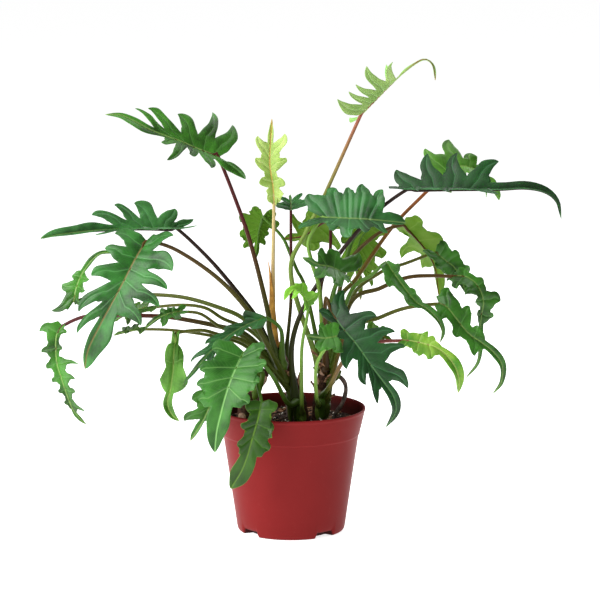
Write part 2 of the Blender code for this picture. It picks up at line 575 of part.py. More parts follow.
def soil_height(across, back):
    """The lumps of the soil's top, flat at the pot's wall."""
    waves = math.sin(0.21 * across + 0.4) * math.cos(0.17 * back)
    waves += 0.6 * math.sin(0.33 * back + 0.1 * across)
    inward = max(0.0, 1 - math.hypot(across, back) / body_radius(SOIL_TOP)) ** 0.5
    return SOIL_LUMP * waves * inward


def build_soil(parts, cutters):
    """Potting soil that fills the pot, with a plain hole for each stem and root in it."""
    profile = hollow_profile(GAP, SOIL_TOP)
    rim = profile[1][0]
    rings = [(rim * ring / SOIL_RINGS, SOIL_TOP) for ring in range(SOIL_RINGS)]
    soil = turned("soil", rings + profile[1:], parts)
    soil.modifiers["turn"].steps = soil.modifiers["turn"].render_steps = SOIL_SIDES
    mesh = applied(soil)
    soil.modifiers.clear()
    soil.data = mesh
    for vert in mesh.vertices:
        if vert.co.z > (SOIL_TOP - 0.1) * MM:
            vert.co.z += soil_height(vert.co.x / MM, vert.co.y / MM) * MM
    boolean(soil, "DIFFERENCE", notch_blocks("notch_room", WALL + GAP, cutters))
    feet = [(stem.route[0][:2], stem.foot) for stem in STEMS.values()]
    feet += [(root[-1][:2], ROOT_RADIUS) for stem in STEMS.values() for root in stem.roots]
    holes = rods("stem_holes", [place for place, radius in feet],
                 [radius + HOLE_ROOM for place, radius in feet], ROOT_FOOT - GAP, SOIL_TOP + 10, cutters)
    boolean(soil, "DIFFERENCE", holes)
    finish(soil, "dark_potting_soil", SOIL_COLOUR, 0.95)


def stem_radius(stem, share):
    """The stem's radius, with a swelling at each of its old leaf rings."""
    plain = stem.foot + (stem.top - stem.foot) * share
    return plain * (1 + 0.05 * math.sin(share * math.tau * STEM_RINGS))


def stem_outside(stem, share, turn):
    """A place on a stem's outside and the way out of it, a turn from the front round the stem."""
    path = Path(stem.route)
    outward = np.array((math.sin(turn), -math.cos(turn), 0.0))
    outward = unit(outward - path.along(share) * (outward @ path.along(share)))
    return path.at(share) + outward * stem_radius(stem, share), outward


def scar(name, place, outward, collection):
    """A round leaf scar: a low stub that stands out of the stem."""
    form = bmesh.new()
    made = bmesh.ops.create_cone(form, cap_ends=True, segments=ROD_SIDES, radius1=SCAR_RADIUS * MM,
                                 radius2=SCAR_RADIUS * 0.8 * MM, depth=2 * SCAR_HEIGHT * MM)
    turn = Vector((0, 0, 1)).rotation_difference(Vector(outward)).to_matrix()
    bmesh.ops.rotate(form, verts=made["verts"], cent=(0, 0, 0), matrix=turn)
    bmesh.ops.translate(form, verts=made["verts"], vec=Vector(place) * MM)
    mesh = bpy.data.meshes.new(name)
    form.to_mesh(mesh)
    form.free()
    return cutter(add_object(name, mesh, collection))


def build_stem(stem, parts, cutters):
    """One woody stem with its leaf scars and the roots that hang from it."""
    path = Path(stem.route)
    shares = np.linspace(0, 1, STEM_STEPS)
    body = tube(stem.name, [stem.route[0]] + [path.at(share) for share in shares if share > 0.2],
                [stem.foot] + [stem_radius(stem, share) for share in shares if share > 0.2], 2, parts)
    for number, (share, turn) in enumerate(stem.scars):
        place, outward = stem_outside(stem, share, math.radians(turn))
        boolean(body, "UNION", scar(f"{stem.name}_scar_{number}", place, outward, cutters))
    for number, route in enumerate(stem.roots):
        path = Path(route)
        places = [path.at(share) for share in np.linspace(0, 1, ROOT_STEPS)]
        root = tube(f"{stem.name}_root_{number}", places, [ROOT_RADIUS] * ROOT_STEPS, 1, cutters)
        boolean(body, "UNION", cutter(root))
    finish(body, f"{stem.name}_bark", STEM_COLOUR, 0.8)


class Blade:
    """The blade of a leaf: its rib, the lobes on both sides of it and the end lobe.

    Each half is drawn flat, as (distance along the rib, distance out from it), and then bent to
    the rib. A side is 1 or -1. Lobes fan out from the rib, so none can cross its neighbour.
    """

    def __init__(self, leaf):
        self.leaf = leaf
        self.rib = Path([sight(*place) for place in leaf.rib])
        self.length = self.rib.length
        self.count = len(leaf.lobes)
        self.roots = [self.length * leaf.ends * (number / self.count) ** 0.9
                      for number in range(self.count + 1)]
        self.lobes = self.find_lobes()
        self.end_width = {side: self.find_end_width(side) for side in (1, -1)}

    def frame(self, along, side):
        """Place on the rib, the rib's direction, the half's way out and the upper side."""
        share = min(max(along / self.length, 0.0), 1.0)
        ahead = self.rib.along(share)
        face = np.array(self.leaf.face) * (1 - share)
        face = face + np.array(self.leaf.tip_face or self.leaf.face) * share
        level = unit(np.cross(face, ahead))
        upper = np.cross(ahead, level)
        fold = math.radians(self.leaf.fold)
        outward = side * level * math.cos(fold) + upper * math.sin(fold)
        place = self.rib.at(share) + ahead * (along - share * self.length)
        return place, ahead, outward, upper

    def place(self, flat, side):
        """The real place of a flat one; the half rises beside the rib and droops further out."""
        along, out = flat
        start, ahead, outward, upper = self.frame(along, side)
        return start + outward * out + upper * CAMBER * out * (1 - out / CAMBER_SPAN)

    def flatten(self, seen, side, guess):
        """The flat place that is seen at (across, up), found by stepping towards it."""
        flat = np.array(guess, float)
        for _ in range(FLATTEN_STEPS):
            here = front_view(self.place(flat, side))
            slopes = np.array([front_view(self.place(flat + step, side)) - here for step in np.eye(2)]).T
            move = np.linalg.lstsq(slopes, np.array(seen) - here, rcond=0.1)[0]
            flat += move * min(1.0, FLATTEN_STRIDE / (np.linalg.norm(move) + 0.001))
            flat[1] = min(max(flat[1], MIN_REACH), MAX_REACH)
        return flat

    def find_tips(self):
        """The flat places of the lobes' tips on each side."""
        bases = [(first + last) / 2 for first, last in zip(self.roots, self.roots[1:])]
        turned_over = 0.0
        for base, pair in zip(bases, self.leaf.lobes):
            start, ahead, outward, upper = self.frame(base, 1)
            middle = front_view(start)
            ahead = front_view(start + ahead) - middle
            left = front_view(start + outward) - middle
            for order, seen in zip((1, -1), pair):
                if seen:
                    there = np.array(seen) - middle
                    turned_over += (order * (ahead[0] * there[1] - ahead[1] * there[0])
                                    * np.sign(ahead[0] * left[1] - ahead[1] * left[0]))
        tips = {1: [], -1: []}
        for base, pair in zip(bases, self.leaf.lobes):
            pair = pair if turned_over > 0 else pair[::-1]
            found = {side: self.flatten(seen, side, (base, MIN_REACH * 4))
                     for side, seen in zip((1, -1), pair) if seen}
            for side in (1, -1):
                tips[side].append(found.get(side, found.get(-side)))
        return tips

    def find_lobes(self):
        """For each side, the lobes as (distance along the rib, angle from it, reach)."""
        lobes = {}
        for side, tips in self.find_tips().items():
            tips.sort(key=lambda tip: tip[0] - tip[1] * LEAN)
            lobes[side] = []
            angle = math.pi
            for number, tip in enumerate(tips):
                base = (self.roots[number] + self.roots[number + 1]) / 2
                reach = min(math.hypot(tip[0] - base, tip[1]), MAX_REACH)
                angle = min(math.atan2(tip[1], tip[0] - base), angle - FAN)
                angle = min(max(angle, LEAST_ANGLE + FAN * (self.count - number)), MOST_ANGLE)
                lobes[side].append((base, angle, reach))
        return lobes

    def divide(self, number, side):
        """The ray that starts a lobe's room, between it and the one before, as start and angle."""
        lobes = self.lobes[side]
        start = np.array((self.roots[number], 0.0))
        if number == 0:
            return start, min(lobes[0][1] + BACK_ROOM, MOST_ANGLE + FAN)
        if number == self.count:
            return start, lobes[-1][1] * END_ANGLE_SHARE
        return start, (lobes[number - 1][1] + lobes[number][1]) / 2

    def find_end_width(self, side):
        """Half the end lobe's width, kept inside the ray before it."""
        start, angle = self.divide(self.count, side)
        room = (self.length - start[0]) * END_SHOULDERS[0] * math.tan(min(angle, 1.2)) - MARGIN
        return min(END_WIDTH * self.length * self.leaf.wide * self.leaf.end, room)

    def sinus(self, number, side):
        """The bottom of the cut on the ray before a lobe."""
        start, ray = self.divide(number, side)
        reaches = [self.lobes[side][other][2] for other in (number - 1, number) if 0 <= other < self.count]
        depth = self.leaf.cut * min(reaches)
        if number == 0:
            depth *= BACK_SHARE
        if number == self.count:
            depth = min(depth, self.end_width[side] * 0.8 / math.sin(ray))
        return start + np.array((math.cos(ray), math.sin(ray))) * depth

    def tip(self, number, side):
        base, angle, reach = self.lobes[side][number]
        return np.array((base + math.cos(angle) * reach, math.sin(angle) * reach))

    def across(self, number, side, share, widths):
        """The two edges of a lobe, a share of the way from its neck to its tip."""
        back, front = self.sinus(number, side), self.sinus(number + 1, side)
        neck = (back + front) / 2
        reach = self.tip(number, side) - neck
        backward = np.array((-reach[1], reach[0]))
        here = neck + reach * share + backward * BOW * 4 * share * (1 - share)
        chord = (front - back) / np.linalg.norm(front - back)
        edges = []
        for order, other, width in ((-1, number, widths[0]), (1, number + 1, widths[1])):
            start, ray = self.divide(other, side)
            normal = np.array((math.sin(ray), -math.cos(ray)))
            room = ((start - here) @ normal) / (chord @ normal)
            half = min(abs(room) * ROOM_SHARE, np.linalg.norm(front - back) * NECK_SHARE,
                       MAX_HALF_WIDTH * self.leaf.wide)
            edges.append(here + order * chord * half * width)
        return edges

    def shape(self):
        """Places and faces of the blade as an open surface that faces its upper side."""
        end = self.roots[-1]
        stations = self.roots + [end + (self.length - end) * share for share in END_SHOULDERS]
        stations.append(self.length)
        places = [self.rib.at(station / self.length) for station in stations]
        tip = len(places) - 1
        faces = []
        for side in (1, -1):
            first = len(places)
            flats = [self.sinus(number, side) for number in range(self.count + 1)]
            half = []
            for number in range(self.count):
                row = (first + number, first + number + 1)
                half.append((number, number + 1, row[1], row[0]))
                short = self.lobes[side][number][2] < SHORT_LOBE
                for share, *widths in SHORT_SHOULDERS if short else SHOULDERS:
                    flats += self.across(number, side, share, widths)
                    last = first + len(flats) - 1
                    half.append((*row, last, last - 1))
                    row = (last - 1, last)
                flats.append(self.tip(number, side))
                half.append((*row, first + len(flats) - 1))
            edge = first + self.count
            for number, share in enumerate(END_SHOULDERS, self.count):
                width = self.end_width[side] * (1 - share ** self.leaf.taper) ** 0.8
                flats.append(np.array((stations[number + 1], width)))
                last = first + len(flats) - 1
                half.append((number, number + 1, last, edge))
                edge = last
            half.append((tip - 1, tip, edge))
            places += [self.place(flat, side) for flat in flats]
            faces += half if side > 0 else [face[::-1] for face in half]
        return places, faces


def beside_bark(stem, bark, height, outward):
    """Where the middle line of a stalk lies at a height, STALK_GAP clear of its stem's bark."""
    path = Path(stem.route)
    share = float(np.interp(height, path.dense[:, 2], path.marks))
    place = path.at(share) + outward * 2 * stem.foot
    for _ in range(SEAT_STEPS):
        clear = bark.find_nearest(Vector(place) * MM)[3] / MM - STALK_RADIUS
        place = place - outward * (clear - STALK_GAP)
    return place


def stalk_foot(leaf, bark, first):
    """A stalk's two lowest places: along its stem on the side that it heads for, or on the stem's end."""
    stem = STEMS[leaf.stem]
    path = Path(stem.route)
    if leaf.height > stem.route[-1][2]:
        return [path.at(1.0) + path.along(1.0) * rise for rise in (STALK_GAP, FOOT_LENGTH)]
    share = float(np.interp(leaf.height, path.dense[:, 2], path.marks))
    outward = unit((first - path.at(share)) * np.array((1.0, 1.0, 0.0)))
    return [beside_bark(stem, bark, height, outward) for height in (leaf.height - FOOT_LENGTH, leaf.height)]


def build_leaf(leaf, bark, parts, cutters):
    """A leaf: a thin lobed blade joined to a round stalk that runs on under its rib."""
    blade = Blade(leaf)
    places, faces = blade.shape()
    body = mesh_object(f"leaf_{leaf.name}", places, [], faces, parts)
    form = bmesh.new()
    form.from_mesh(body.data)
    bmesh.ops.triangulate(form, faces=form.faces)
    form.to_mesh(body.data)
    form.free()
    solid = body.modifiers.new("blade thickness", "SOLIDIFY")
    solid.thickness = BLADE * MM
    solid.offset = 0.0
    solid.use_even_offset = False

    stalk = [sight(*place) for place in leaf.stalk]
    foot, start = stalk_foot(leaf, bark, stalk[0])
    route = Path([start] + stalk + [blade.rib.at(0.0)])
    shares = np.linspace(0, 1, STALK_STEPS + len(leaf.stalk))
    line = [foot] + [route.at(share) for share in shares]
    radii = [STALK_RADIUS]
    radii += [STALK_RADIUS + (STALK_END_RADIUS - STALK_RADIUS) * share for share in shares]
    for share, radius, sink in UNDER_RIB:
        place, along, outward, upper = blade.frame(share * blade.length, 1)
        line.append(place - upper * sink)
        radii.append(radius)
    boolean(body, "UNION", cutter(tube(f"{leaf.name}_stalk", line, radii, 1, cutters)))
    finish(body, f"{leaf.name}_green", TONES[leaf.tone], 0.35)


def build():
    for thing in list(bpy.data.objects):
        bpy.data.objects.remove(thing)
    parts = new_collection(NAME)
    cutters = new_collection("cutters")
    build_pot(parts, cutters)
    build_soil(parts, cutters)
    barks = {}
    for name, stem in STEMS.items():
        build_stem(stem, parts, cutters)
        bpy.context.view_layer.update()
        barks[name] = BVHTree.FromObject(bpy.data.objects[stem.name], bpy.context.evaluated_depsgraph_get())
    for leaf in LEAVES:
        build_leaf(leaf, barks[leaf.stem], parts, cutters)


build()
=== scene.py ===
"""Looks of a potted philodendron: its fine pot, soil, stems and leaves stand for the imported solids.

Sizes in the tables and formulas are millimetres, and MM turns them into the scene's metres. The
leaves' places are given as seen from the front, as (across, up, depth behind the pot's axis).
"""
import math
from dataclasses import dataclass

import bmesh
import bpy
import numpy as np
from bpy.props import FloatProperty, FloatVectorProperty, PointerProperty
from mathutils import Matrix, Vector
from mathutils.bvhtree import BVHTree


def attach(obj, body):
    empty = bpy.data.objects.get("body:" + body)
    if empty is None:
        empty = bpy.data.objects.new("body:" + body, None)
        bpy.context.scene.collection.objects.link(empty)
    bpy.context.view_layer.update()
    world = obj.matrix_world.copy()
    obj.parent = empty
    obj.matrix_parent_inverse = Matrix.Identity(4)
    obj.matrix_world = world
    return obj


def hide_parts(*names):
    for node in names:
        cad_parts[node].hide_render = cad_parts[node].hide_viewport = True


bl_info = {
    "name": "Potted Philodendron",
    "version": (1, 0, 0),
    "blender": (4, 5, 0),
    "location": "View3D > Sidebar > Plant",
    "description": "Builds the fine pot, soil, stems and lobed leaves of a potted philodendron",
    "category": "Object",
}

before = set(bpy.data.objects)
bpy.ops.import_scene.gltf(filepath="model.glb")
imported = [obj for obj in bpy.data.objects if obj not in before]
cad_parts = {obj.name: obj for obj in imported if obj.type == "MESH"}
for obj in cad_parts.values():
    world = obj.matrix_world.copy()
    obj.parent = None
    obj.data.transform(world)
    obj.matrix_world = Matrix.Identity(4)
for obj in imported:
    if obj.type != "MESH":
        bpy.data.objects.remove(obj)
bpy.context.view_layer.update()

MM = 0.001
BODY = "root"
WELD = 0.004           # places nearer than this are one
WAVES = 9              # sine waves in uneven relief
FRONT = np.array((0.0, -1.0, 0.0))
LEFT = np.array((-1.0, 0.0, 0.0))
EYE = np.array((9.0, -2800.0, 700.0))   # where the leaves' places are seen from

# The camera in metres, its lens in mm, and half the width of the floor's sheet in metres.
CAMERA = (0.0092, -2.8, 0.7)
CAMERA_TILT = math.radians(90 - 9.387)
LENS = 168.0
SENSOR = 36.0
SHEET = 40.0

# The pot and its soil.
RIM_RADIUS = 76.0
POT_HEIGHT = 127.0
WALL = 1.8
FLOOR = 2.2
BASE_RADIUS = 54.6
BODY_SLOPE = 0.146     # growth of the radius for each mm of height
BAND = 100.0           # height of the foot of the band under the rim
BAND_STEP = 1.1
BAND_TOP_RADIUS = 75.2
NOTCHES = 4
NOTCH_TURN = math.radians(-50)
NOTCH_WIDTH = 25.0
NOTCH_TAPER = 3.0
NOTCH_HEIGHT = 5.6
NOTCH_DEPTH = 11.0
DRAIN_RADIUS = 3.4
DRAIN_SIDES = 28
DRAIN_CUT = 24.0       # length of the cutter, half of it above the ground
TURN_STEPS = 56        # columns in each quarter of the pot
RIM_SHADE_DEPTH = 10.0      # below the lip, where the painted shade inside the rim is at its darkest
FOOT_SHADE_HEIGHT = 8.0     # the painted shade of the underside ends here
SOIL_TOP = 112.0
SOIL_LUMP = 1.6
SOIL_CRUMB = 1.5
SOIL_GAP = 0.3
SOIL_RINGS = 61
SOIL_COLUMNS = 168
LUMP_ROWS = 6          # of each loose bit on the soil
LUMP_COLUMNS = 8
# Loose bits: name, count, seed, size, flatness, and their material's name, two colours, grain and
# roughness.
CRUMBS = (
    ("perlite_beads", 150, 11, 1.15, 0.8, ("expanded_perlite", "#C8BEB0", "#F2EEE6", 0.6, 0.9)),
    ("bark_chips", 170, 12, 2.4, 0.3, ("chipped_pine_bark", "#4E2E1C", "#A87A52", 1.6, 0.85)),
    ("peat_crumbs", 420, 13, 1.6, 0.7, ("peat_crumb", "#120A07", "#3A2418", 1.2, 0.95)),
)

# Stems and roots.
STEM_RINGS = 5
RING_SWELL = 0.05      # as a share of the radius
STEM_ROWS = 150
STEM_SIDES = 56
STEM_ROUND = 4.0       # length over which a stem's end is rounded
FURROW_SPACING = 7.5
FIRST_FURROW = 3.7
FURROW_WIDTH = 0.6
FURROW_DEPTH = 0.4
SCAR_RADIUS = 4.2
SCAR_HEIGHT = 1.3
ROOT_RADIUS = 2.2
ROOT_ROWS = 60
ROOT_SIDES = 20
# Dry scales on a stem: share of the way up, turn from the front, height, flare and half angle.
HUSKS = {
    "stem_left": [(0.5, 60, 12.0, 4.0, 34), (0.62, -70, 13.0, 5.0, 30), (0.74, 20, 12.0, 4.0, 32)],
    "stem_middle": [(0.42, -50, 14.0, 4.0, 34), (0.58, 70, 13.0, 4.5, 32),
                    (0.7, -10, 10.0, 4.0, 30)],
    "stem_right": [(0.4, 70, 15.0, 7.0, 36), (0.5, -60, 14.0, 6.0, 34), (0.62, 40, 14.0, 8.0, 38),
                   (0.72, -20, 13.0, 6.5, 32), (0.8, 80, 14.0, 9.0, 34),
                   (0.82, -75, 12.0, 8.0, 30)],
}
HUSK_ROWS = 7
HUSK_COLUMNS = 9
HUSK_THICKNESS = 0.5

# Stalks, and how they run on under the ribs.
STALK_GAP = 0.35
STALK_RADIUS = 1.8
STALK_END_RADIUS = 1.45
STALK_SIDES = 14
STALK_ROW = 4.5        # length of a stalk's rows
LEAST_STALK_ROWS = 24
FOOT_LENGTH = 5.0
FOOT_SUNK = 6.0        # how far a foot runs on into its stem's end or the soil
FOOT_SWELL = 0.75      # how much thicker a stalk is at its foot
FOOT_SWELL_LENGTH = 18.0
SEAT_STEPS = 3
IN_SOIL_BELOW = 150.0  # stalks that start lower than this rise from the soil
STOUT_BLADE = 120.0    # from this length of blade on, a stalk is fully stout
STALK_STOUT = 0.32     # how much thicker a stout stalk is at its blade
STALK_SWELL = 0.35     # and how much more it gains towards its foot
STREAK_STRETCH = 25.0  # length of stalk for each unit of its streaks' pattern
# Places under the rib that a stalk runs on through, as shares of the rib, and its radius there.
UNDER_SHARES = (0.0, 0.06, 0.2, 0.3, 0.4, 0.5, 0.58, 0.66, 0.73, 0.79, 0.84, 0.88, 0.92, 0.95, 0.98)
RIB_SHARES = (0.0, 0.2, 0.75, 1.0)
RIB_RADII = (1.35, 1.0, 0.5, 0.3)
# Leaves with a dry scale beside the stalk, and its height.
SHEATHED = {"new_leaf": 90.0}
SHEATH_START = 4.0
SHEATH_ROWS = 36
SHEATH_COLUMNS = 13
SHEATH_THICKNESS = 0.4

# Blades, worked out as in the solids.
END_WIDTH = 0.105      # half width of the end lobe for each mm of rib
END_SHOULDER = 0.42    # where the end lobe is widest, as a share of its length
MAX_HALF_WIDTH = 8.5
ROOM_SHARE = 0.80
NECK_SHARE = 0.62
MIN_REACH = 5.0
MAX_REACH = 74.0
MARGIN = 0.7
LEAN = 0.6
FAN = math.radians(4)
LEAST_ANGLE = math.radians(12)
MOST_ANGLE = math.radians(155)
BACK_ROOM = math.radians(25)
BACK_SHARE = 0.6       # depth of the web behind the first lobe, as a share of the other cuts'
END_ANGLE_SHARE = 0.6
CAMBER = 0.22
CAMBER_SPAN = 45.0
FLATTEN_STEPS = 12
FLATTEN_STRIDE = 20.0

# What the fine blades add.
WEB_ROWS = 7           # from the rib to the cuts
LOBE_ROWS = 20         # from the cuts to a lobe's tip
LOBE_COLUMNS = 12
END_ROWS = 26
BOW = 0.13             # how far a lobe bends back before it leans forward, as a share of its length
ROUNDING = 4.5         # length over which a cut widens from its round bottom
WAVE = 0.05            # unevenness of a lobe's edge, as a share of its width
TWIST = math.radians(13)
DROOP = 0.07           # how far a lobe's tip bends up or down, as a share of its length
PILLOW = 0.45          # how far the blade swells between its veins
RIB_FURROW = 0.5       # depth of the furrow over the rib
RIB_FURROW_WIDTH = 1.8
VEIN_FURROW = 0.45     # depth of the furrow over a lobe's vein
VEIN_SPACING = 3.5     # between side veins
VEIN_LEAN = 1.1        # how far a side vein leans forward for each mm out
QUILT = 0.09           # how far the skin swells between side veins


@dataclass
class Tone:
    """The colours of a leaf's skin: body and lighter patches, underside, veins, rib and edge.

    roughness is that of its upper side, and veins is how strongly they show.
    """
    body: str
    light: str
    under: str
    vein: str
    rib: str
    edge: str
    roughness: float = 0.36
    veins: float = 0.45


TONES = {
    "mid": Tone("#20440C", "#428026", "#4A7630", "#60944A", "#80A054", "#4E8036"),
    "blue": Tone("#143A12", "#306E30", "#44703C", "#56905A", "#6A8648", "#3C7444", 0.4),
    # The sheen tone's paler, greyer green is partly painted sheen: it stands in for the whitish
    # highlight on upper leaves.
    "sheen": Tone("#1C4818", "#468442", "#4A7848", "#629864", "#74904E", "#4C8050", 0.44),
    "face": Tone("#143A0C", "#307428", "#487848", "#5E9C58", "#7E6C38", "#3C7240", 0.4, 0.4),
    "dark": Tone("#0E2E0E", "#1E4E20", "#3C683E", "#447A4C", "#5C8852", "#306440", 0.5),
    "deep": Tone("#1C3E02", "#2E5806", "#466A12", "#4E7A20", "#648A2C", "#86A842", 0.42, 0.4),
    "fresh": Tone("#386814", "#649E36", "#6AA042", "#84B25A", "#90B054", "#72A444", 0.42),
    "bright": Tone("#205212", "#40802C", "#5E9444", "#7CB05E", "#8CC470", "#64A04A", 0.38, 0.45),
    "lime": Tone("#4A8A1E", "#86B03A", "#9CC050", "#AECC68", "#B4C86C", "#9CC050", 0.45),
    "new": Tone("#86A644", "#AAC268", "#B0CC68", "#C6D68A", "#CCA050", "#BCD078", 0.5),
    "young": Tone("#5A9A1C", "#8ACA3E", "#86C048", "#A8DC68", "#9CCC50", "#90CC50", 0.45),
    "pale": Tone("#789C4A", "#A0BC6C", "#80B45C", "#B0D08C", "#A89454", "#94BC68", 0.5),
    "olive": Tone("#355C0A", "#4E7E16", "#56801A", "#7C9A42", "#8C681C", "#6A9030", 0.45),
}

# The two colours of a stalk, from its foot to its blade, and the shares of the way between which
# the one turns into the other.
STALKS = {
    "green": ("#5E7C26", "#527E2A", 0.1, 0.75),
    "olive": ("#586C24", "#626824", 0.1, 0.75),
    "maroon": ("#4A5E1C", "#541A1C", 0.1, 0.7),
    "black": ("#404E18", "#2E1A12", 0.1, 0.6),
    "brown": ("#56641E", "#5C441A", 0.1, 0.8),
    "woody": ("#4C3620", "#5C441A", 0.1, 0.5),
    "orange": ("#5C6420", "#9A5022", 0.3, 0.95),
    "red": ("#86A44A", "#AC5E50", 0.6, 1.0),
    "pale": ("#7E9E3C", "#80AE4C", 0.1, 0.75),
    "cream": ("#B87212", "#E2CE94", 0.08, 0.7),
    "rose": ("#4E6E22", "#A85A58", 0.35, 0.9),
}

# The finish of each leaf's skin and of its stalk.
FINISHES = {
    "top_left": ("mid", "maroon"), "left_upper": ("sheen", "black"), "left_face": ("face", "brown"),
    "far_left_back": ("mid", "olive"), "far_left": ("mid", "maroon"),
    "left_hanging": ("fresh", "olive"), "left_twist": ("mid", "olive"),
    "left_tucked": ("deep", "olive"), "left_low": ("deep", "olive"),
    "left_inner": ("blue", "green"),
    "front_left": ("bright", "green"), "front_left_low": ("mid", "green"),
    "front_pot": ("deep", "green"), "new_leaf": ("new", "cream"), "top_right": ("pale", "red"),
    "right_long": ("dark", "black"), "right_back": ("fresh", "orange"),
    "centre_right": ("blue", "pale"), "centre_small": ("blue", "maroon"),
    "centre_back": ("olive", "maroon"), "centre_left": ("deep", "green"),
    "back_hanging": ("olive", "green"), "right_droop_1": ("olive", "brown"),
    "right_droop_2": ("mid", "olive"), "right_droop_3": ("mid", "brown"),
    "right_droop_4": ("mid", "olive"), "right_twist": ("mid", "green"),
    "right_young": ("lime", "rose"), "dark_front": ("dark", "woody"),
    "front_centre": ("mid", "pale"), "young_left": ("young", "pale"),
    "centre_face": ("mid", "green"),
    "behind_dark": ("olive", "brown"),
}


@dataclass
class Stem:
    """A woody stem: its route as (x, y, z), its radius at both ends, its leaf scars and its roots.

    A scar is (share of the way up, turn in degrees round the stem from the front). A root is a
    route from inside the stem down into the soil.
    """
    name: str
    route: list
    foot: float
    top: float
    scars: list
    roots: list


STEMS = {
    "left": Stem("stem_left", [(-46, -16, 84), (-46, -16, 118), (-45, -16, 134), (-36, -13, 152),
                               (-27, -8, 168)], 8.0, 7.5,
                 [(0.42, -25), (0.62, 70), (0.74, -20), (0.88, 35)], []),
    "middle": Stem("stem_middle", [(12, 4, 84), (12, 4, 118), (6, 4, 142), (-6, 3, 168),
                                   (-15, 2, 190)], 6.5, 5.0, [(0.5, 200), (0.7, 140)],
                   [[(-4, 4, 166), (-3, 15, 158), (-3, 18, 140), (-3, 18, 118), (-3, 18, 84)]]),
    "right": Stem("stem_right", [(28, 14, 84), (28, 14, 118), (31, 12, 140), (35, 9, 166),
                                 (36, 6, 194)], 7.0, 6.0, [(0.5, -30), (0.61, -70), (0.72, -15)],
                  [[(36, 10, 160), (50, 8, 156), (56, 6, 146), (53, 4, 131), (44.3, 4, 116),
                    (44, 4, 104), (44, 4, 84)]]),
}


@dataclass
class Leaf:
    """One leaf on its stalk, as seen from the front.

    slot is not used. height is where its stalk leaves the stem. stalk
    and rib run from the stem to the blade's tip through (across, up, depth) places. The lobes are
    pairs of tips (across, up), from the stalk's end to the tip; None copies the other side. face
    and tip_face are the ways that the blade's upper side looks at its two ends, fold is the angle
    that each half is raised by, and wide scales the lobes' width. ends is the share of the rib
    where the end lobe begins, cut the share of a lobe's length that is web, and end scales the end
    lobe's width, which runs out to the tip sooner with a smaller taper.
    """
    name: str
    slot: str
    stem: str
    height: float
    stalk: list
    rib: list
    lobes: list
    face: tuple
    tip_face: tuple = None
    fold: float = 10.0
    wide: float = 1.0
    ends: float = 0.55
    cut: float = 0.5
    end: float = 1.0
    taper: float = 3.0


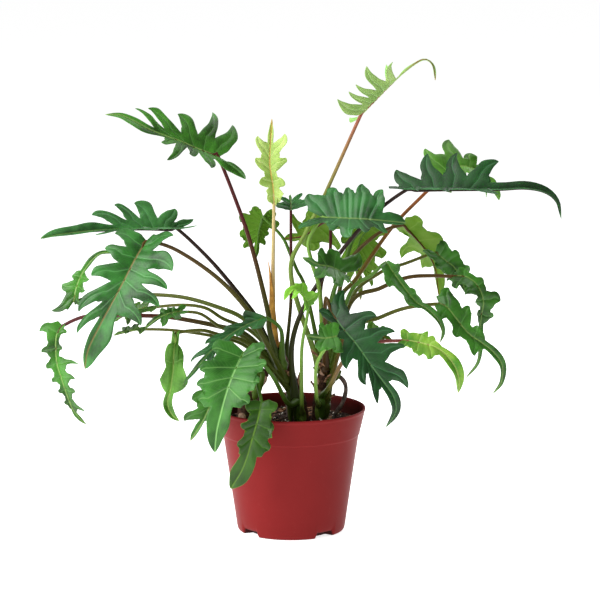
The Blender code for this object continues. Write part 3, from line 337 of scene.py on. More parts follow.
LEAVES = [
    Leaf("top_left", "mid", stem="middle", height=173,
         stalk=[(-22, 207, -14), (-23, 223, -12), (-36, 278, -6), (-49, 321, -8)],
         rib=[(-72, 383, -15), (-95, 392, -21), (-111, 399, -25), (-138, 409, -29),
              (-159, 420, -32), (-171, 425, -33), (-186, 426, -34)],
         face=(0, -0.7, 0.7), fold=5, ends=0.42, cut=0.4, end=0.75, taper=2,
         lobes=[((-58, 416), (-41, 387)), ((-77, 430), (-80, 372)), ((-113, 427), (-102, 386)),
                ((-143, 432), (-124, 381)), ((-159, 428), (-130, 398))]),
    Leaf("left_upper", "blue", stem="middle", height=177,
         stalk=[(-29, 206, -3), (-39, 225, -10), (-77, 273, -20)],
         rib=[(-113, 310, -30), (-156, 310, -40), (-198, 308, -48), (-233, 304, -52),
              (-253, 300, -54)],
         face=(0, -0.35, 0.94), tip_face=(0, -0.7, 0.7), fold=28,
         wide=1.1, ends=0.34, cut=0.42, end=1.25,
         lobes=[((-96, 313), None), ((-117, 330), None), ((-158, 336), None), ((-178, 335), None),
                ((-201, 327), None)]),
    Leaf("left_face", "blue", stem="middle", height=160,
         stalk=[(-29, 201, -26), (-47, 231, -22), (-77, 262, -41), (-117, 289, -72)],
         rib=[(-146, 298, -85), (-158, 278, -98), (-170, 255, -105), (-183, 231, -108),
              (-195, 209, -109), (-206, 186, -107), (-210, 166, -102)],
         face=(-0.2, -0.85, 0.45), tip_face=(-0.3, -0.93, 0.1), fold=8,
         wide=1.1, ends=0.44, cut=0.44, end=1.13,
         lobes=[((-178, 306), (-119, 305)), ((-189, 291), (-120, 267)), ((-202, 262), (-125, 250)),
                ((-216, 225), (-133, 233)), ((-214, 200), (-153, 211))]),
    Leaf("far_left_back", "mid", stem="middle", height=189,
         stalk=[(-47, 217, 6), (-72, 229, 12), (-110, 240, 26), (-153, 243, 40), (-193, 243, 48)],
         rib=[(-220, 236, 52), (-217, 251, 56), (-209, 268, 60), (-194, 284, 64), (-177, 286, 66)],
         face=(-0.5, -0.8, 0.2), tip_face=(-0.3, -0.5, 0.8),
         wide=0.55, ends=0.4, cut=0.6, end=0.9,
         lobes=[((-242, 226), (-214, 235)), ((-232, 254), (-209, 247)),
                ((-222, 262), (-205, 259))]),
    Leaf("far_left", "mid", stem="middle", height=168,
         stalk=[(-45, 201, 9), (-73, 210, 2), (-120, 219, 0), (-151, 221, -5), (-204, 221, 2)],
         rib=[(-232, 211, 5), (-238, 201, 3), (-239, 186, 1), (-238, 171, -1), (-234, 157, -2),
              (-229, 141, -1), (-223, 125, 1), (-216, 115, 3), (-209, 108, 4)],
         face=(-0.45, -0.88, 0.15), wide=0.42, ends=0.78, end=0.6, taper=2,
         lobes=[((-256, 205), (-228, 203)), ((-254, 190), (-233, 186)), ((-249, 176), (-230, 173)),
                ((-245, 160), (-215, 174)), ((-236, 141), (-223, 151)),
                ((-229, 130), (-211, 121))]),
    Leaf("left_hanging", "fresh", stem="middle", height=146,
         stalk=[(-42, 191, -24), (-75, 202, -28), (-92, 206, -34)],
         rib=[(-117, 203, -40), (-119, 186, -44), (-120, 165, -46), (-123, 144, -46),
              (-126, 131, -45), (-122, 119, -44), (-114, 112, -44)],
         face=(0.2, -0.95, 0.2), fold=6, wide=3, ends=0.62, cut=0.78, end=0.17,
         lobes=[((-128, 174), (-109, 176))]),
    Leaf("left_twist", "fresh", stem="middle", height=157,
         stalk=[(-44, 196, -5), (-71, 209, -14), (-92, 223, -20)],
         rib=[(-111, 226, -24), (-125, 223, -28), (-137, 217, -30), (-148, 208, -30)],
         face=(-0.1, -0.6, 0.8), wide=0.8, ends=0.45, cut=0.7,
         lobes=[((-106, 230), None), ((-120, 230), (-117, 218)), ((-133, 224), (-131, 210))]),
    Leaf("left_tucked", "dark", stem="middle", height=182,
         stalk=[(-42, 206, 20), (-69, 218, 18), (-87, 229, 18), (-112, 232, 22)],
         rib=[(-147, 230, 30), (-163, 225, 38), (-182, 214, 44)],
         face=(-0.1, -0.5, 0.85), fold=12, wide=0.9, ends=0.6, cut=0.6,
         lobes=[((-143, 237), (-141, 223)), ((-157, 235), (-153, 218)),
                ((-173, 229), (-166, 211))]),
    Leaf("left_low", "dark", stem="middle", height=146,
         stalk=[(-44, 188, 8), (-75, 199, -2), (-120, 206, -2)],
         rib=[(-156, 208, 0), (-167, 205, 4), (-180, 201, 6)],
         face=(-0.1, -0.5, 0.85), fold=25, wide=0.8, ends=0.6, cut=0.6,
         lobes=[((-155, 213), (-154, 202)), ((-166, 210), (-166, 197))]),
    Leaf("left_inner", "blue", stem="middle", height=176,
         stalk=[(-10, 206, -16)],
         rib=[(-25, 220, -28), (-50, 209, -43), (-73, 193, -50), (-92, 172, -55), (-110, 150, -57)],
         face=(-0.3, -0.6, 0.75), fold=8, wide=1.2, cut=0.7,
         lobes=[((-47, 217), (-40, 208)), ((-69, 211), (-43, 203)), ((-85, 188), (-55, 190)),
                ((-103, 173), (-78, 167))]),
    Leaf("front_left", "bright", stem="middle", height=133,
         stalk=[(-3, 130, -26), (-17, 156, -50), (-29, 172, -60), (-40, 181, -63)],
         rib=[(-48, 184, -64), (-55, 169, -71), (-61, 155, -77), (-67, 137, -81), (-72, 118, -83),
              (-76, 100, -84), (-78, 79, -84)],
         face=(-0.2, -0.92, 0.3), fold=5, wide=1.2, ends=0.42, cut=0.84, taper=2,
         lobes=[((-80, 187), (-27, 187)), ((-92, 164), (-25, 171)), ((-96, 149), (-33, 152)),
                ((-95, 134), (-44, 130))]),
    Leaf("front_left_low", "mid", stem="left", height=150,
         stalk=[(-29, 163, -30), (-47, 161, -42)],
         rib=[(-65, 149, -52), (-80, 132, -58), (-90, 112, -60), (-103, 91, -60)],
         face=(-0.2, -0.92, 0.3), fold=6, wide=1.1, ends=0.5, cut=0.65,
         lobes=[((-80, 154), (-59, 136)), ((-101, 134), (-70, 121)), ((-109, 112), (-86, 108))]),
    Leaf("front_pot", "deep", stem="left", height=165,
         stalk=[(-35, 170, -46), (-35, 157, -66)],
         rib=[(-30, 132, -83), (-34, 113, -89), (-40, 92, -92), (-45, 74, -94), (-51, 59, -93),
              (-62, 41, -90)],
         face=(0.05, -0.98, 0.15), fold=6, wide=1.2, ends=0.45, cut=0.88, end=0.95,
         lobes=[((-44, 122), (-17, 122)), ((-48, 103), (-17, 106)), ((-57, 92), (-23, 81))]),
    Leaf("new_leaf", "lime", stem="middle", height=200,
         stalk=[(-18, 225, 1), (-18, 247, 0), (-18, 279, 0)],
         rib=[(-17, 337, 0), (-18, 353, 0), (-21, 373, 0), (-21, 388, 0), (-19, 421, -2)],
         face=(0, -0.9, 0.4), tip_face=(0, -1, 0.1), fold=14,
         wide=1.1, ends=0.6, cut=0.7, end=1.1, taper=1.3,
         lobes=[((-24, 342), (-10, 339)), ((-29, 362), (-11, 362)), ((-35, 382), (-5, 382)),
                ((-33, 404), (-6, 406))]),
    Leaf("top_right", "pale", stem="right", height=172,
         stalk=[(0, 263, 5), (15, 306, 6), (33, 342, 7)],
         rib=[(72, 426, 10), (82, 436, 12), (100, 454, 14), (116, 469, 17), (132, 480, 19),
              (141, 475, 20), (144, 460, 19)],
         face=(0.3, -0.5, -0.8), tip_face=(-0.45, 0.3, -0.5), fold=-35,
         wide=0.75, ends=0.4, cut=0.36, end=0.6, taper=2,
         lobes=[((49, 439), None), ((60, 447), None), ((67, 454), None), ((77, 473), None),
                ((102, 478), None)]),
    Leaf("right_long", "dark", stem="middle", height=140,
         stalk=[(1, 191, -9), (16, 235, -7), (51, 287, -6), (83, 324, -11)],
         rib=[(115, 350, -12), (152, 350, -20), (180, 350, -25), (211, 350, -28), (236, 351, -30),
              (256, 347, -30), (268, 337, -29), (273, 320, -28)],
         face=(0, -0.35, 0.94), tip_face=(0, -0.6, 0.8), fold=30,
         wide=0.9, ends=0.42, cut=0.34, end=0.53, taper=1.4,
         lobes=[((106, 372), None), ((138, 385), None), ((167, 389), None), ((209, 380), None)]),
    Leaf("right_back", "fresh", stem="right", height=172,
         stalk=[(50, 237, 14), (66, 259, 28), (101, 310, 38), (132, 343, 44)],
         rib=[(153, 364, 48), (168, 373, 56), (184, 371, 64), (200, 358, 70), (210, 339, 72)],
         face=(0.1, -0.5, 0.85), fold=15, wide=0.9, ends=0.6, end=0.8,
         lobes=[((135, 392), (162, 347)), ((159, 401), (172, 351)), ((178, 388), (180, 353)),
                ((197, 372), (191, 343))]),
    Leaf("centre_right", "blue", stem="right", height=187,
         stalk=[(29, 247, -12), (21, 276, -17), (18, 298, -17)],
         rib=[(31, 322, -18), (53, 321, -24), (75, 320, -30), (95, 318, -32), (116, 316, -32)],
         face=(0, -0.8, 0.6), fold=6, wide=1.1, ends=0.62, cut=0.8,
         lobes=[((18, 346), (8, 310)), ((46, 351), (36, 314)), ((58, 352), (61, 303)),
                ((72, 356), (80, 310)), ((93, 349), (98, 307))]),
    Leaf("centre_small", "blue", stem="middle", height=178,
         stalk=[(0, 237, 14), (0, 299, 14)],
         rib=[(0, 329, 14), (0, 336, 21), (-1, 345, 29)],
         face=(0, -0.8, 0.6), wide=1.1, cut=0.6,
         lobes=[((-15, 337), (18, 342)), ((-10, 343), (11, 347))]),
    Leaf("centre_back", "olive", stem="right", height=190,
         stalk=[(30, 247, 20), (38, 276, 26), (40, 293, 28)],
         rib=[(40, 321, 32), (27, 313, 44), (13, 303, 50), (-7, 300, 54)],
         face=(0.2, 0.8, 0.5), fold=8, wide=1.1, ends=0.65, cut=0.75,
         lobes=[((52, 309), (35, 333)), ((47, 288), (15, 325)), ((25, 288), (-1, 323))]),
    Leaf("centre_left", "deep", stem="right", height=183,
         stalk=[(15, 248, 15), (6, 268, 20), (-1, 285, 24), (-9, 302, 28)],
         rib=[(-28, 323, 32), (-32, 309, 40), (-34, 293, 42), (-36, 278, 40)],
         face=(0.1, 0.9, 0.3), fold=6, wide=1.2, ends=0.5, cut=0.85, end=1.2,
         lobes=[((-39, 332), (-22, 331)), ((-51, 317), (-19, 310)), ((-51, 302), (-24, 303)),
                ((-47, 290), (-27, 293))]),
    Leaf("back_hanging", "olive", stem="right", height=182,
         stalk=[(41, 237, 26), (55, 276, 38), (64, 301, 42)],
         rib=[(82, 315, 45), (70, 299, 56), (67, 276, 60), (70, 256, 60), (71, 237, 57)],
         face=(0.2, 0.85, 0.4), fold=8, wide=1.2, ends=0.5, cut=0.85, end=1.1,
         lobes=[((62, 317), (94, 303)), ((52, 295), (92, 280)), ((53, 276), (85, 266)),
                ((58, 254), (82, 251))]),
    Leaf("right_droop_1", "olive", stem="right", height=190,
         stalk=[(55, 268, 30), (85, 303, 28)],
         rib=[(113, 315, 36), (124, 304, 44), (138, 287, 52), (147, 268, 58), (150, 242, 60)],
         face=(0.5, 0.6, 0.6), tip_face=(0.9, 0.4, 0.1), fold=6, wide=1.1, cut=0.7,
         lobes=[((110, 307), (134, 318)), ((115, 282), (155, 299)), ((133, 270), (161, 276))]),
    Leaf("right_droop_2", "blue", stem="right", height=166,
         stalk=[(60, 237, 4), (90, 265, 8), (117, 275, 12)],
         rib=[(146, 286, 16), (157, 277, 22), (167, 268, 25), (178, 244, 26)],
         face=(0.2, -0.75, 0.6), tip_face=(0.6, -0.7, 0.3), fold=6, wide=0.9, ends=0.6, cut=0.8,
         lobes=[((133, 292), (158, 295)), ((148, 270), (171, 283)), ((159, 257), (181, 266))]),
    Leaf("right_droop_3", "mid", stem="right", height=158,
         stalk=[(60, 233, -8), (90, 249, -8), (117, 260, -8), (141, 262, -8)],
         rib=[(166, 262, -8), (177, 261, -10), (188, 253, -12), (195, 237, -12), (193, 219, -12),
              (192, 201, -12), (192, 186, -12), (189, 171, -11), (178, 156, -10)],
         face=(0.3, -0.7, 0.6), tip_face=(0.7, -0.7, 0.1), fold=8,
         wide=0.7, ends=0.5, cut=0.65, end=0.4, taper=2,
         lobes=[((168, 249), (177, 269)), ((177, 243), (188, 261)), ((187, 236), (202, 256)),
                ((189, 222), (201, 234))]),
    Leaf("right_droop_4", "deep", stem="right", height=134,
         stalk=[(55, 202, -10), (90, 219, -14), (117, 229, -16)],
         rib=[(150, 234, -20), (158, 230, -25), (167, 219, -28), (180, 203, -30), (194, 193, -30),
              (207, 182, -29), (215, 169, -28), (214, 152, -27), (206, 140, -26)],
         face=(0.2, -0.85, 0.5), tip_face=(0.6, -0.8, 0.1), fold=8,
         wide=0.8, ends=0.48, cut=0.6, end=0.5, taper=2,
         lobes=[((153, 217), (160, 250)), ((168, 199), (171, 233)), ((182, 181), (186, 211))]),
    Leaf("right_twist", "mid", stem="right", height=176,
         stalk=[(60, 244, -20), (82, 263, -30)],
         rib=[(96, 276, -34), (106, 262, -39), (117, 247, -43), (127, 235, -45), (138, 228, -46),
              (149, 217, -47), (154, 205, -47), (152, 193, -47)],
         face=(0.2, -0.8, 0.5), tip_face=(0.7, -0.7, 0.1), fold=20,
         wide=0.9, ends=0.5, cut=0.8, end=0.5, taper=2,
         lobes=[((101, 251), (109, 266)), ((113, 238), (127, 245))]),
    Leaf("right_young", "lime", stem="right", height=138,
         stalk=[(40, 149, -44), (57, 179, -52), (85, 193, -52)],
         rib=[(113, 196, -50), (123, 195, -52), (136, 192, -54), (148, 188, -56), (159, 179, -57),
              (167, 168, -57), (171, 155, -57), (171, 141, -56)],
         face=(0.1, -0.8, 0.6), tip_face=(0.6, -0.8, 0.1),
         wide=0.9, ends=0.35, cut=0.93, end=0.9,
         lobes=[((115, 188), (119, 205)), ((123, 184), (132, 203)), ((144, 177), (147, 196))]),
    Leaf("dark_front", "dark", stem="right", height=172,
         stalk=[(35, 237, -34)],
         rib=[(41, 225, -48), (52, 209, -60), (67, 191, -70), (82, 169, -76), (93, 154, -80),
              (104, 138, -82), (107, 122, -81), (97, 105, -78)],
         face=(0.1, -0.9, 0.4), tip_face=(0.4, -0.9, 0.1), fold=8,
         wide=0.85, ends=0.52, cut=0.45, end=0.6, taper=1.6,
         lobes=[((28, 226), (54, 248)), ((38, 205), (87, 220)), ((57, 166), (102, 213)),
                ((77, 150), (116, 189)), ((88, 130), (119, 146))]),
    Leaf("front_centre", "mid", stem="right", height=127,
         stalk=[(26, 138, -42), (26, 170, -60), (38, 191, -70)],
         rib=[(47, 200, -75), (34, 198, -80), (16, 200, -82)],
         face=(0, -0.85, 0.5), fold=8, wide=1.2, ends=0.5, cut=0.85, end=1.1,
         lobes=[((44, 184), (42, 214)), ((28, 184), (28, 211))]),
    Leaf("young_left", "bright", stem="middle", height=121,
         stalk=[(11, 134, -34), (11, 186, -38), (16, 217, -36)],
         rib=[(19, 231, -38), (12, 243, -44), (3, 248, -50), (-7, 237, -54)],
         face=(0, -0.6, 0.8), fold=14, wide=1.1, ends=0.5, cut=0.6,
         lobes=[((27, 245), (9, 233)), ((12, 255), (0, 239))]),
    Leaf("centre_face", "blue", stem="right", height=184,
         stalk=[(44, 245, -20)],
         rib=[(54, 265, -26), (41, 271, -38), (26, 274, -46), (12, 281, -50)],
         face=(0, -0.75, 0.65), fold=8, wide=1.2, cut=0.75, end=1.1,
         lobes=[((69, 286), (62, 254)), ((47, 288), (43, 255)), ((27, 285), (23, 261))]),
    Leaf("behind_dark", "olive", stem="right", height=121,
         stalk=[(55, 201, -24), (67, 205, -32)],
         rib=[(78, 205, -36), (90, 201, -40), (103, 194, -43)],
         face=(0.1, -0.75, 0.65), fold=8, wide=1.2, ends=0.6, cut=0.72,
         lobes=[((82, 196), (84, 214)), ((95, 193), (97, 208))]),
]


def unit(vectors):
    """Vectors brought to a length of 1."""
    return vectors / np.linalg.norm(vectors, axis=-1, keepdims=True)


def ease(value):
    """The smooth step 3v^2 - 2v^3 of a value kept between 0 and 1."""
    value = np.clip(value, 0.0, 1.0)
    return value * value * (3.0 - 2.0 * value)


def ripples(places, size, seed):
    """Uneven relief from about -1 to 1: sine waves in many directions, about size mm long."""
    chance = np.random.default_rng(seed)
    stretch = chance.normal(size=(WAVES, 3))
    waves = unit(stretch) * chance.uniform(0.7, 1.5, (WAVES, 1)) * math.tau / size
    offsets = chance.uniform(0.0, math.tau, WAVES)
    return np.sin(places @ waves.T + offsets).sum(axis=-1) / (WAVES / 2)


def sight(across, up, depth):
    """The real place that is seen at (across, up) and lies depth behind the pot's axis."""
    share = (depth - EYE[1]) / -EYE[1]
    return EYE + (np.array((across, 0.0, up)) - EYE) * share


def front_view(places):
    """Where real places are seen, as (across, up)."""
    share = EYE[1] / (EYE[1] - places[..., 1:2])
    return (EYE + (places - EYE) * share)[..., [0, 2]]


class Path:
    """A smooth curve through given places, measured by its own length from 0 to 1.

    Between two places it is the cubic whose slope at a place is half the way from the place
    before it to the place after it.
    """

    PIECES = 24    # between two places
    REACH = 0.02   # of the length, for its direction

    def __init__(self, places):
        places = np.array(places, float)
        ends = np.vstack((2 * places[0] - places[1], places, 2 * places[-1] - places[-2]))
        before, start, stop, after = (ends[first:len(ends) - 3 + first, None] for first in range(4))
        steps = np.linspace(0, 1, self.PIECES, endpoint=False)[None, :, None]
        dense = 0.5 * (2 * start + (stop - before) * steps
                       + (2 * before - 5 * start + 4 * stop - after) * steps ** 2
                       + (3 * start - before - 3 * stop + after) * steps ** 3)
        self.dense = np.vstack((dense.reshape(-1, places.shape[1]), places[-1:]))
        lengths = np.linalg.norm(np.diff(self.dense, axis=0), axis=1)
        self.length = lengths.sum()
        self.marks = np.concatenate(((0.0,), np.cumsum(lengths))) / self.length

    def at(self, shares):
        """The places at shares of the path's length."""
        return np.stack([np.interp(shares, self.marks, column) for column in self.dense.T], axis=-1)

    def along(self, shares):
        """The path's direction there, measured a little to both sides."""
        after = self.at(np.minimum(shares + self.REACH, 1.0))
        return unit(after - self.at(np.maximum(shares - self.REACH, 0.0)))

    def carried(self, shares, way):
        """Places with two ways across the path there: the one nearest to a given way, its side."""
        ahead = self.along(shares)
        first = unit(way - ahead * (ahead @ way)[:, None])
        return self.at(shares), first, np.cross(ahead, first)

    def flat_way(self):
        """The way in which the path bends least, square to the plane that fits it best."""
        return np.linalg.svd(self.dense - self.dense.mean(axis=0))[2][-1]


def grid_faces(rows, columns, around=False):
    """Corner numbers of a grid's four-sided faces; around joins its last column to its first."""
    number = np.arange(rows * columns).reshape(rows, columns)
    if around:
        number = np.hstack((number, number[:, :1]))
    return np.stack((number[:-1, :-1], number[:-1, 1:], number[1:, 1:], number[1:, :-1]),
                    axis=-1).reshape(-1, 4)


def repeated(faces, count, size):
    """The same faces once for each of count patches, whose places follow on, size in each."""
    return (faces + np.arange(count)[:, None, None] * size).reshape(-1, 4)


def add_piece(name, nodes, places, faces, materials, attributes=None):
    """A piece from places in mm, whose doubled places are welded; it stands for the given nodes.

    Each attribute is a number or a vector for every place, for the materials to read.
    """
    mesh = bpy.data.meshes.new(name)
    mesh.from_pydata((places.reshape(-1, 3) * MM).tolist(), [], faces.tolist())
    for label, values in (attributes or {}).items():
        vector = values.shape[-1] == 3
        data = mesh.attributes.new(label, "FLOAT_VECTOR" if vector else "FLOAT", "POINT").data
        data.foreach_set("vector" if vector else "value", values.ravel().astype(np.float32))
    form = bmesh.new()
    form.from_mesh(mesh)
    bmesh.ops.remove_doubles(form, verts=form.verts, dist=WELD * MM)
    form.to_mesh(mesh)
    form.free()
    for material in materials:
        mesh.materials.append(material)
    mesh.shade_smooth()
    piece = bpy.data.objects.new(name, mesh)
    bpy.context.scene.collection.objects.link(piece)
    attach(piece, BODY)
    if nodes:
        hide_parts(*nodes)
    return piece


def thicken(piece, thickness):
    """Give a sheet its thickness in metres, half of it to each side."""
    solid = piece.modifiers.new("thickness", "SOLIDIFY")
    solid.thickness = thickness
    solid.offset = 0.0
    return solid


def tube(path, shares, radii, way, sides):
    """Rows of places round a path: its place plus the radius times (cos a, sin a) across it.

    Each end gets a row of radius 0, which closes it.
    """
    middle, first, second = path.carried(shares, way)
    turns = np.arange(sides) * math.tau / sides
    round_way = first[:, None] * np.cos(turns)[:, None] + second[:, None] * np.sin(turns)[:, None]
    radii = np.broadcast_to(radii if np.ndim(radii) == 2 else np.reshape(radii, (-1, 1)),
                            (len(shares), sides))
    rows = middle[:, None] + round_way * radii[..., None]
    low, high = (np.broadcast_to(end.mean(axis=1, keepdims=True), end.shape)
                 for end in (rows[:1], rows[-1:]))
    return np.concatenate((low, rows, high))


def shade(value):
    """A linear colour from its sRGB hex value."""
    levels = np.array([int(value[place:place + 2], 16) for place in (1, 3, 5)]) / 255
    linear = np.where(levels <= 0.04045, levels / 12.92, ((levels + 0.055) / 1.055) ** 2.4)
    return (*linear.tolist(), 1.0)


def add_node(tree, kind, inputs=None, **settings):
    """Add a node with its settings; an input takes a value or another node's output.

    A mix of colours takes its share at input 0 and its colours at 6 and 7, and gives output 2.
    """
    made = tree.nodes.new(kind)
    for setting, value in settings.items():
        setattr(made, setting, value)
    for socket, value in (inputs or {}).items():
        if isinstance(value, bpy.types.NodeSocket):
            tree.links.new(value, made.inputs[socket])
        else:
            made.inputs[socket].default_value = value
    return made


def new_material(name, **values):
    """A material with one shader; values set the shader's own sockets, with _ for a space."""
    material = bpy.data.materials.new(name)
    material.use_nodes = True
    tree = material.node_tree
    shader = tree.nodes["Principled BSDF"]
    for socket, value in values.items():
        shader.inputs[socket.replace("_", " ")].default_value = value
    return material, tree, shader


def connect(tree, shader, **sources):
    """Link outputs to the shader's own sockets, with _ for a space."""
    for socket, source in sources.items():
        tree.links.new(source, shader.inputs[socket.replace("_", " ")])


def pattern_scale(size):
    """The scale of a pattern whose features are about size mm across."""
    return 1 / (size * MM)


def moulded_plastic(looks):
    """Injection-moulded polypropylene: an even satin red-brown, finely grained, faintly scuffed.

    The wall inside the rim is darkened by painted shade, which thins out towards the lip. The
    underside and the roofs of its notches are darkened by painted shade too.
    """
    material, tree, shader = new_material(
        "moulded_polypropylene", Roughness=looks.roughness, IOR=1.49, Specular_IOR_Level=0.06)
    place = add_node(tree, "ShaderNodeTexCoord").outputs["Object"]
    clouds = add_node(tree, "ShaderNodeTexNoise", {
        "Vector": place, "Scale": pattern_scale(45), "Detail": 3.0})
    scuffs = add_node(tree, "ShaderNodeTexNoise", {
        "Vector": place, "Scale": pattern_scale(6), "Detail": 6.0, "Roughness": 0.7})
    rubbed = add_node(tree, "ShaderNodeMapRange", {
        "Value": scuffs.outputs["Fac"], "From Min": 0.62, "From Max": 0.78, "To Max": 0.22})
    deep = (*(channel * 0.82 for channel in looks.colour), 1.0)
    body = add_node(tree, "ShaderNodeMix", {
        0: clouds.outputs["Fac"], 6: deep, 7: (*looks.colour, 1.0)}, data_type="RGBA")
    worn = add_node(tree, "ShaderNodeMix", {
        0: rubbed.outputs["Result"], 6: body.outputs[2], 7: shade("#A04A46")}, data_type="RGBA")

    # Painted shade lies inside the cone that the outer side of the band is part of, above its foot.
    slope = (BAND_TOP_RADIUS - body_radius(BAND) - BAND_STEP) / (POT_HEIGHT - BAND - 4.0)
    outside = body_radius(BAND) + BAND_STEP - slope * BAND
    parts = add_node(tree, "ShaderNodeSeparateXYZ", {"Vector": place})
    flat = add_node(tree, "ShaderNodeVectorMath", {0: place, 1: (1.0, 1.0, 0.0)},
                    operation="MULTIPLY")
    away = add_node(tree, "ShaderNodeVectorMath", {0: flat.outputs["Vector"]}, operation="LENGTH")
    wall = add_node(tree, "ShaderNodeMath", {
        0: parts.outputs["Z"], 1: -slope, 2: away.outputs["Value"]}, operation="MULTIPLY_ADD")
    inside = add_node(tree, "ShaderNodeMapRange", {
        "Value": wall.outputs["Value"], "From Min": (outside - 0.9) * MM,
        "From Max": (outside - 1.5) * MM, "To Max": 0.85})
    low = add_node(tree, "ShaderNodeMapRange", {
        "Value": parts.outputs["Z"], "From Min": POT_HEIGHT * MM,
        "From Max": (POT_HEIGHT - RIM_SHADE_DEPTH) * MM, "To Min": 0.5})
    above = add_node(tree, "ShaderNodeMapRange", {
        "Value": parts.outputs["Z"], "From Min": (BAND + 2.0) * MM, "From Max": (BAND + 4.0) * MM})
    reach = add_node(tree, "ShaderNodeMath", {
        0: above.outputs["Result"], 1: low.outputs["Result"]}, operation="MULTIPLY")
    rim_shade = add_node(tree, "ShaderNodeMath", {
        0: inside.outputs["Result"], 1: reach.outputs["Value"]}, operation="MULTIPLY")
    # The wall inside the rim turns a near-black brown here: painted shade, not a stain.
    rim_shaded = add_node(tree, "ShaderNodeMix", {
        0: rim_shade.outputs["Value"], 6: worn.outputs[2], 7: shade("#1C0E09")}, data_type="RGBA")

    # The underside and the roofs of the notches turn a near-black red: painted shade, not grime.
    low_down = add_node(tree, "ShaderNodeMapRange", {
        "Value": parts.outputs["Z"], "From Min": (FOOT_SHADE_HEIGHT + 1.0) * MM,
        "From Max": (FOOT_SHADE_HEIGHT - 1.0) * MM})
    under = add_node(tree, "ShaderNodeMapRange", {
        "Value": away.outputs["Value"], "From Min": (BASE_RADIUS - 0.3) * MM,
        "From Max": (BASE_RADIUS - 2.5) * MM, "To Max": 0.9})
    foot = add_node(tree, "ShaderNodeMath", {
        0: low_down.outputs["Result"], 1: under.outputs["Result"]}, operation="MULTIPLY")
    foot_shaded = add_node(tree, "ShaderNodeMix", {
        0: foot.outputs["Value"], 6: rim_shaded.outputs[2], 7: shade("#240907")}, data_type="RGBA")
    # Spark-eroded moulds leave a grain of about 0.15 mm; it is drawn at 0.6 mm so that it shows.
    grain = add_node(tree, "ShaderNodeTexNoise", {
        "Vector": place, "Scale": pattern_scale(0.6), "Detail": 2.0})
    relief = add_node(tree, "ShaderNodeBump", {
        "Height": grain.outputs["Fac"], "Strength": 0.25, "Distance": 0.1 * MM})
    sheen = add_node(tree, "ShaderNodeMapRange", {
        "Value": clouds.outputs["Fac"], "To Min": looks.roughness - 0.04,
        "To Max": looks.roughness + 0.08})
    connect(tree, shader, Base_Color=foot_shaded.outputs[2], Roughness=sheen.outputs["Result"],
            Normal=relief.outputs["Normal"])
    return material


def potting_mix(looks):
    """Damp peat and bark fines: near-black with brown and tan crumbs, and no shine."""
    material, tree, shader = new_material("damp_peat_mix", Roughness=0.95, IOR=1.4)
    place = add_node(tree, "ShaderNodeTexCoord").outputs["Object"]
    lumps = add_node(tree, "ShaderNodeTexNoise", {
        "Vector": place, "Scale": pattern_scale(7), "Detail": 6.0, "Roughness": 0.65})
    cells = add_node(tree, "ShaderNodeTexVoronoi", {"Vector": place, "Scale": pattern_scale(3.2)})
    chip = add_node(tree, "ShaderNodeSeparateColor", {"Color": cells.outputs["Color"]})
    tan = add_node(tree, "ShaderNodeMapRange", {
        "Value": chip.outputs["Red"], "From Min": 0.72, "From Max": 0.95, "To Max": 0.7})
    body = add_node(tree, "ShaderNodeMix", {
        0: lumps.outputs["Fac"], 6: shade("#0E0706"), 7: (*looks.colour, 1.0)}, data_type="RGBA")
    mixed = add_node(tree, "ShaderNodeMix", {
        0: tan.outputs["Result"], 6: body.outputs[2], 7: shade("#6A4A34")}, data_type="RGBA")
    rough = add_node(tree, "ShaderNodeMath", {
        0: lumps.outputs["Fac"], 1: cells.outputs["Distance"]}, operation="ADD")
    relief = add_node(tree, "ShaderNodeBump", {
        "Height": rough.outputs["Value"], "Strength": 0.8, "Distance": 1.2 * MM})
    connect(tree, shader, Base_Color=mixed.outputs[2], Normal=relief.outputs["Normal"])
    return material


def crumb_material(name, dark, light, grain, roughness):
    """Small dry matter: each place takes a colour between two, by a noise of its real grain."""
    material, tree, shader = new_material(name, Roughness=roughness, IOR=1.45)
    place = add_node(tree, "ShaderNodeTexCoord").outputs["Object"]
    noise = add_node(tree, "ShaderNodeTexNoise", {
        "Vector": place, "Scale": pattern_scale(grain), "Detail": 4.0})
    spread = add_node(tree, "ShaderNodeMapRange", {
        "Value": noise.outputs["Fac"], "From Min": 0.3, "From Max": 0.7})
    body = add_node(tree, "ShaderNodeMix", {
        0: spread.outputs["Result"], 6: shade(dark), 7: shade(light)}, data_type="RGBA")
    relief = add_node(tree, "ShaderNodeBump", {
        "Height": noise.outputs["Fac"], "Strength": 0.6, "Distance": 0.4 * MM})
    connect(tree, shader, Base_Color=body.outputs[2], Normal=relief.outputs["Normal"])
    return material


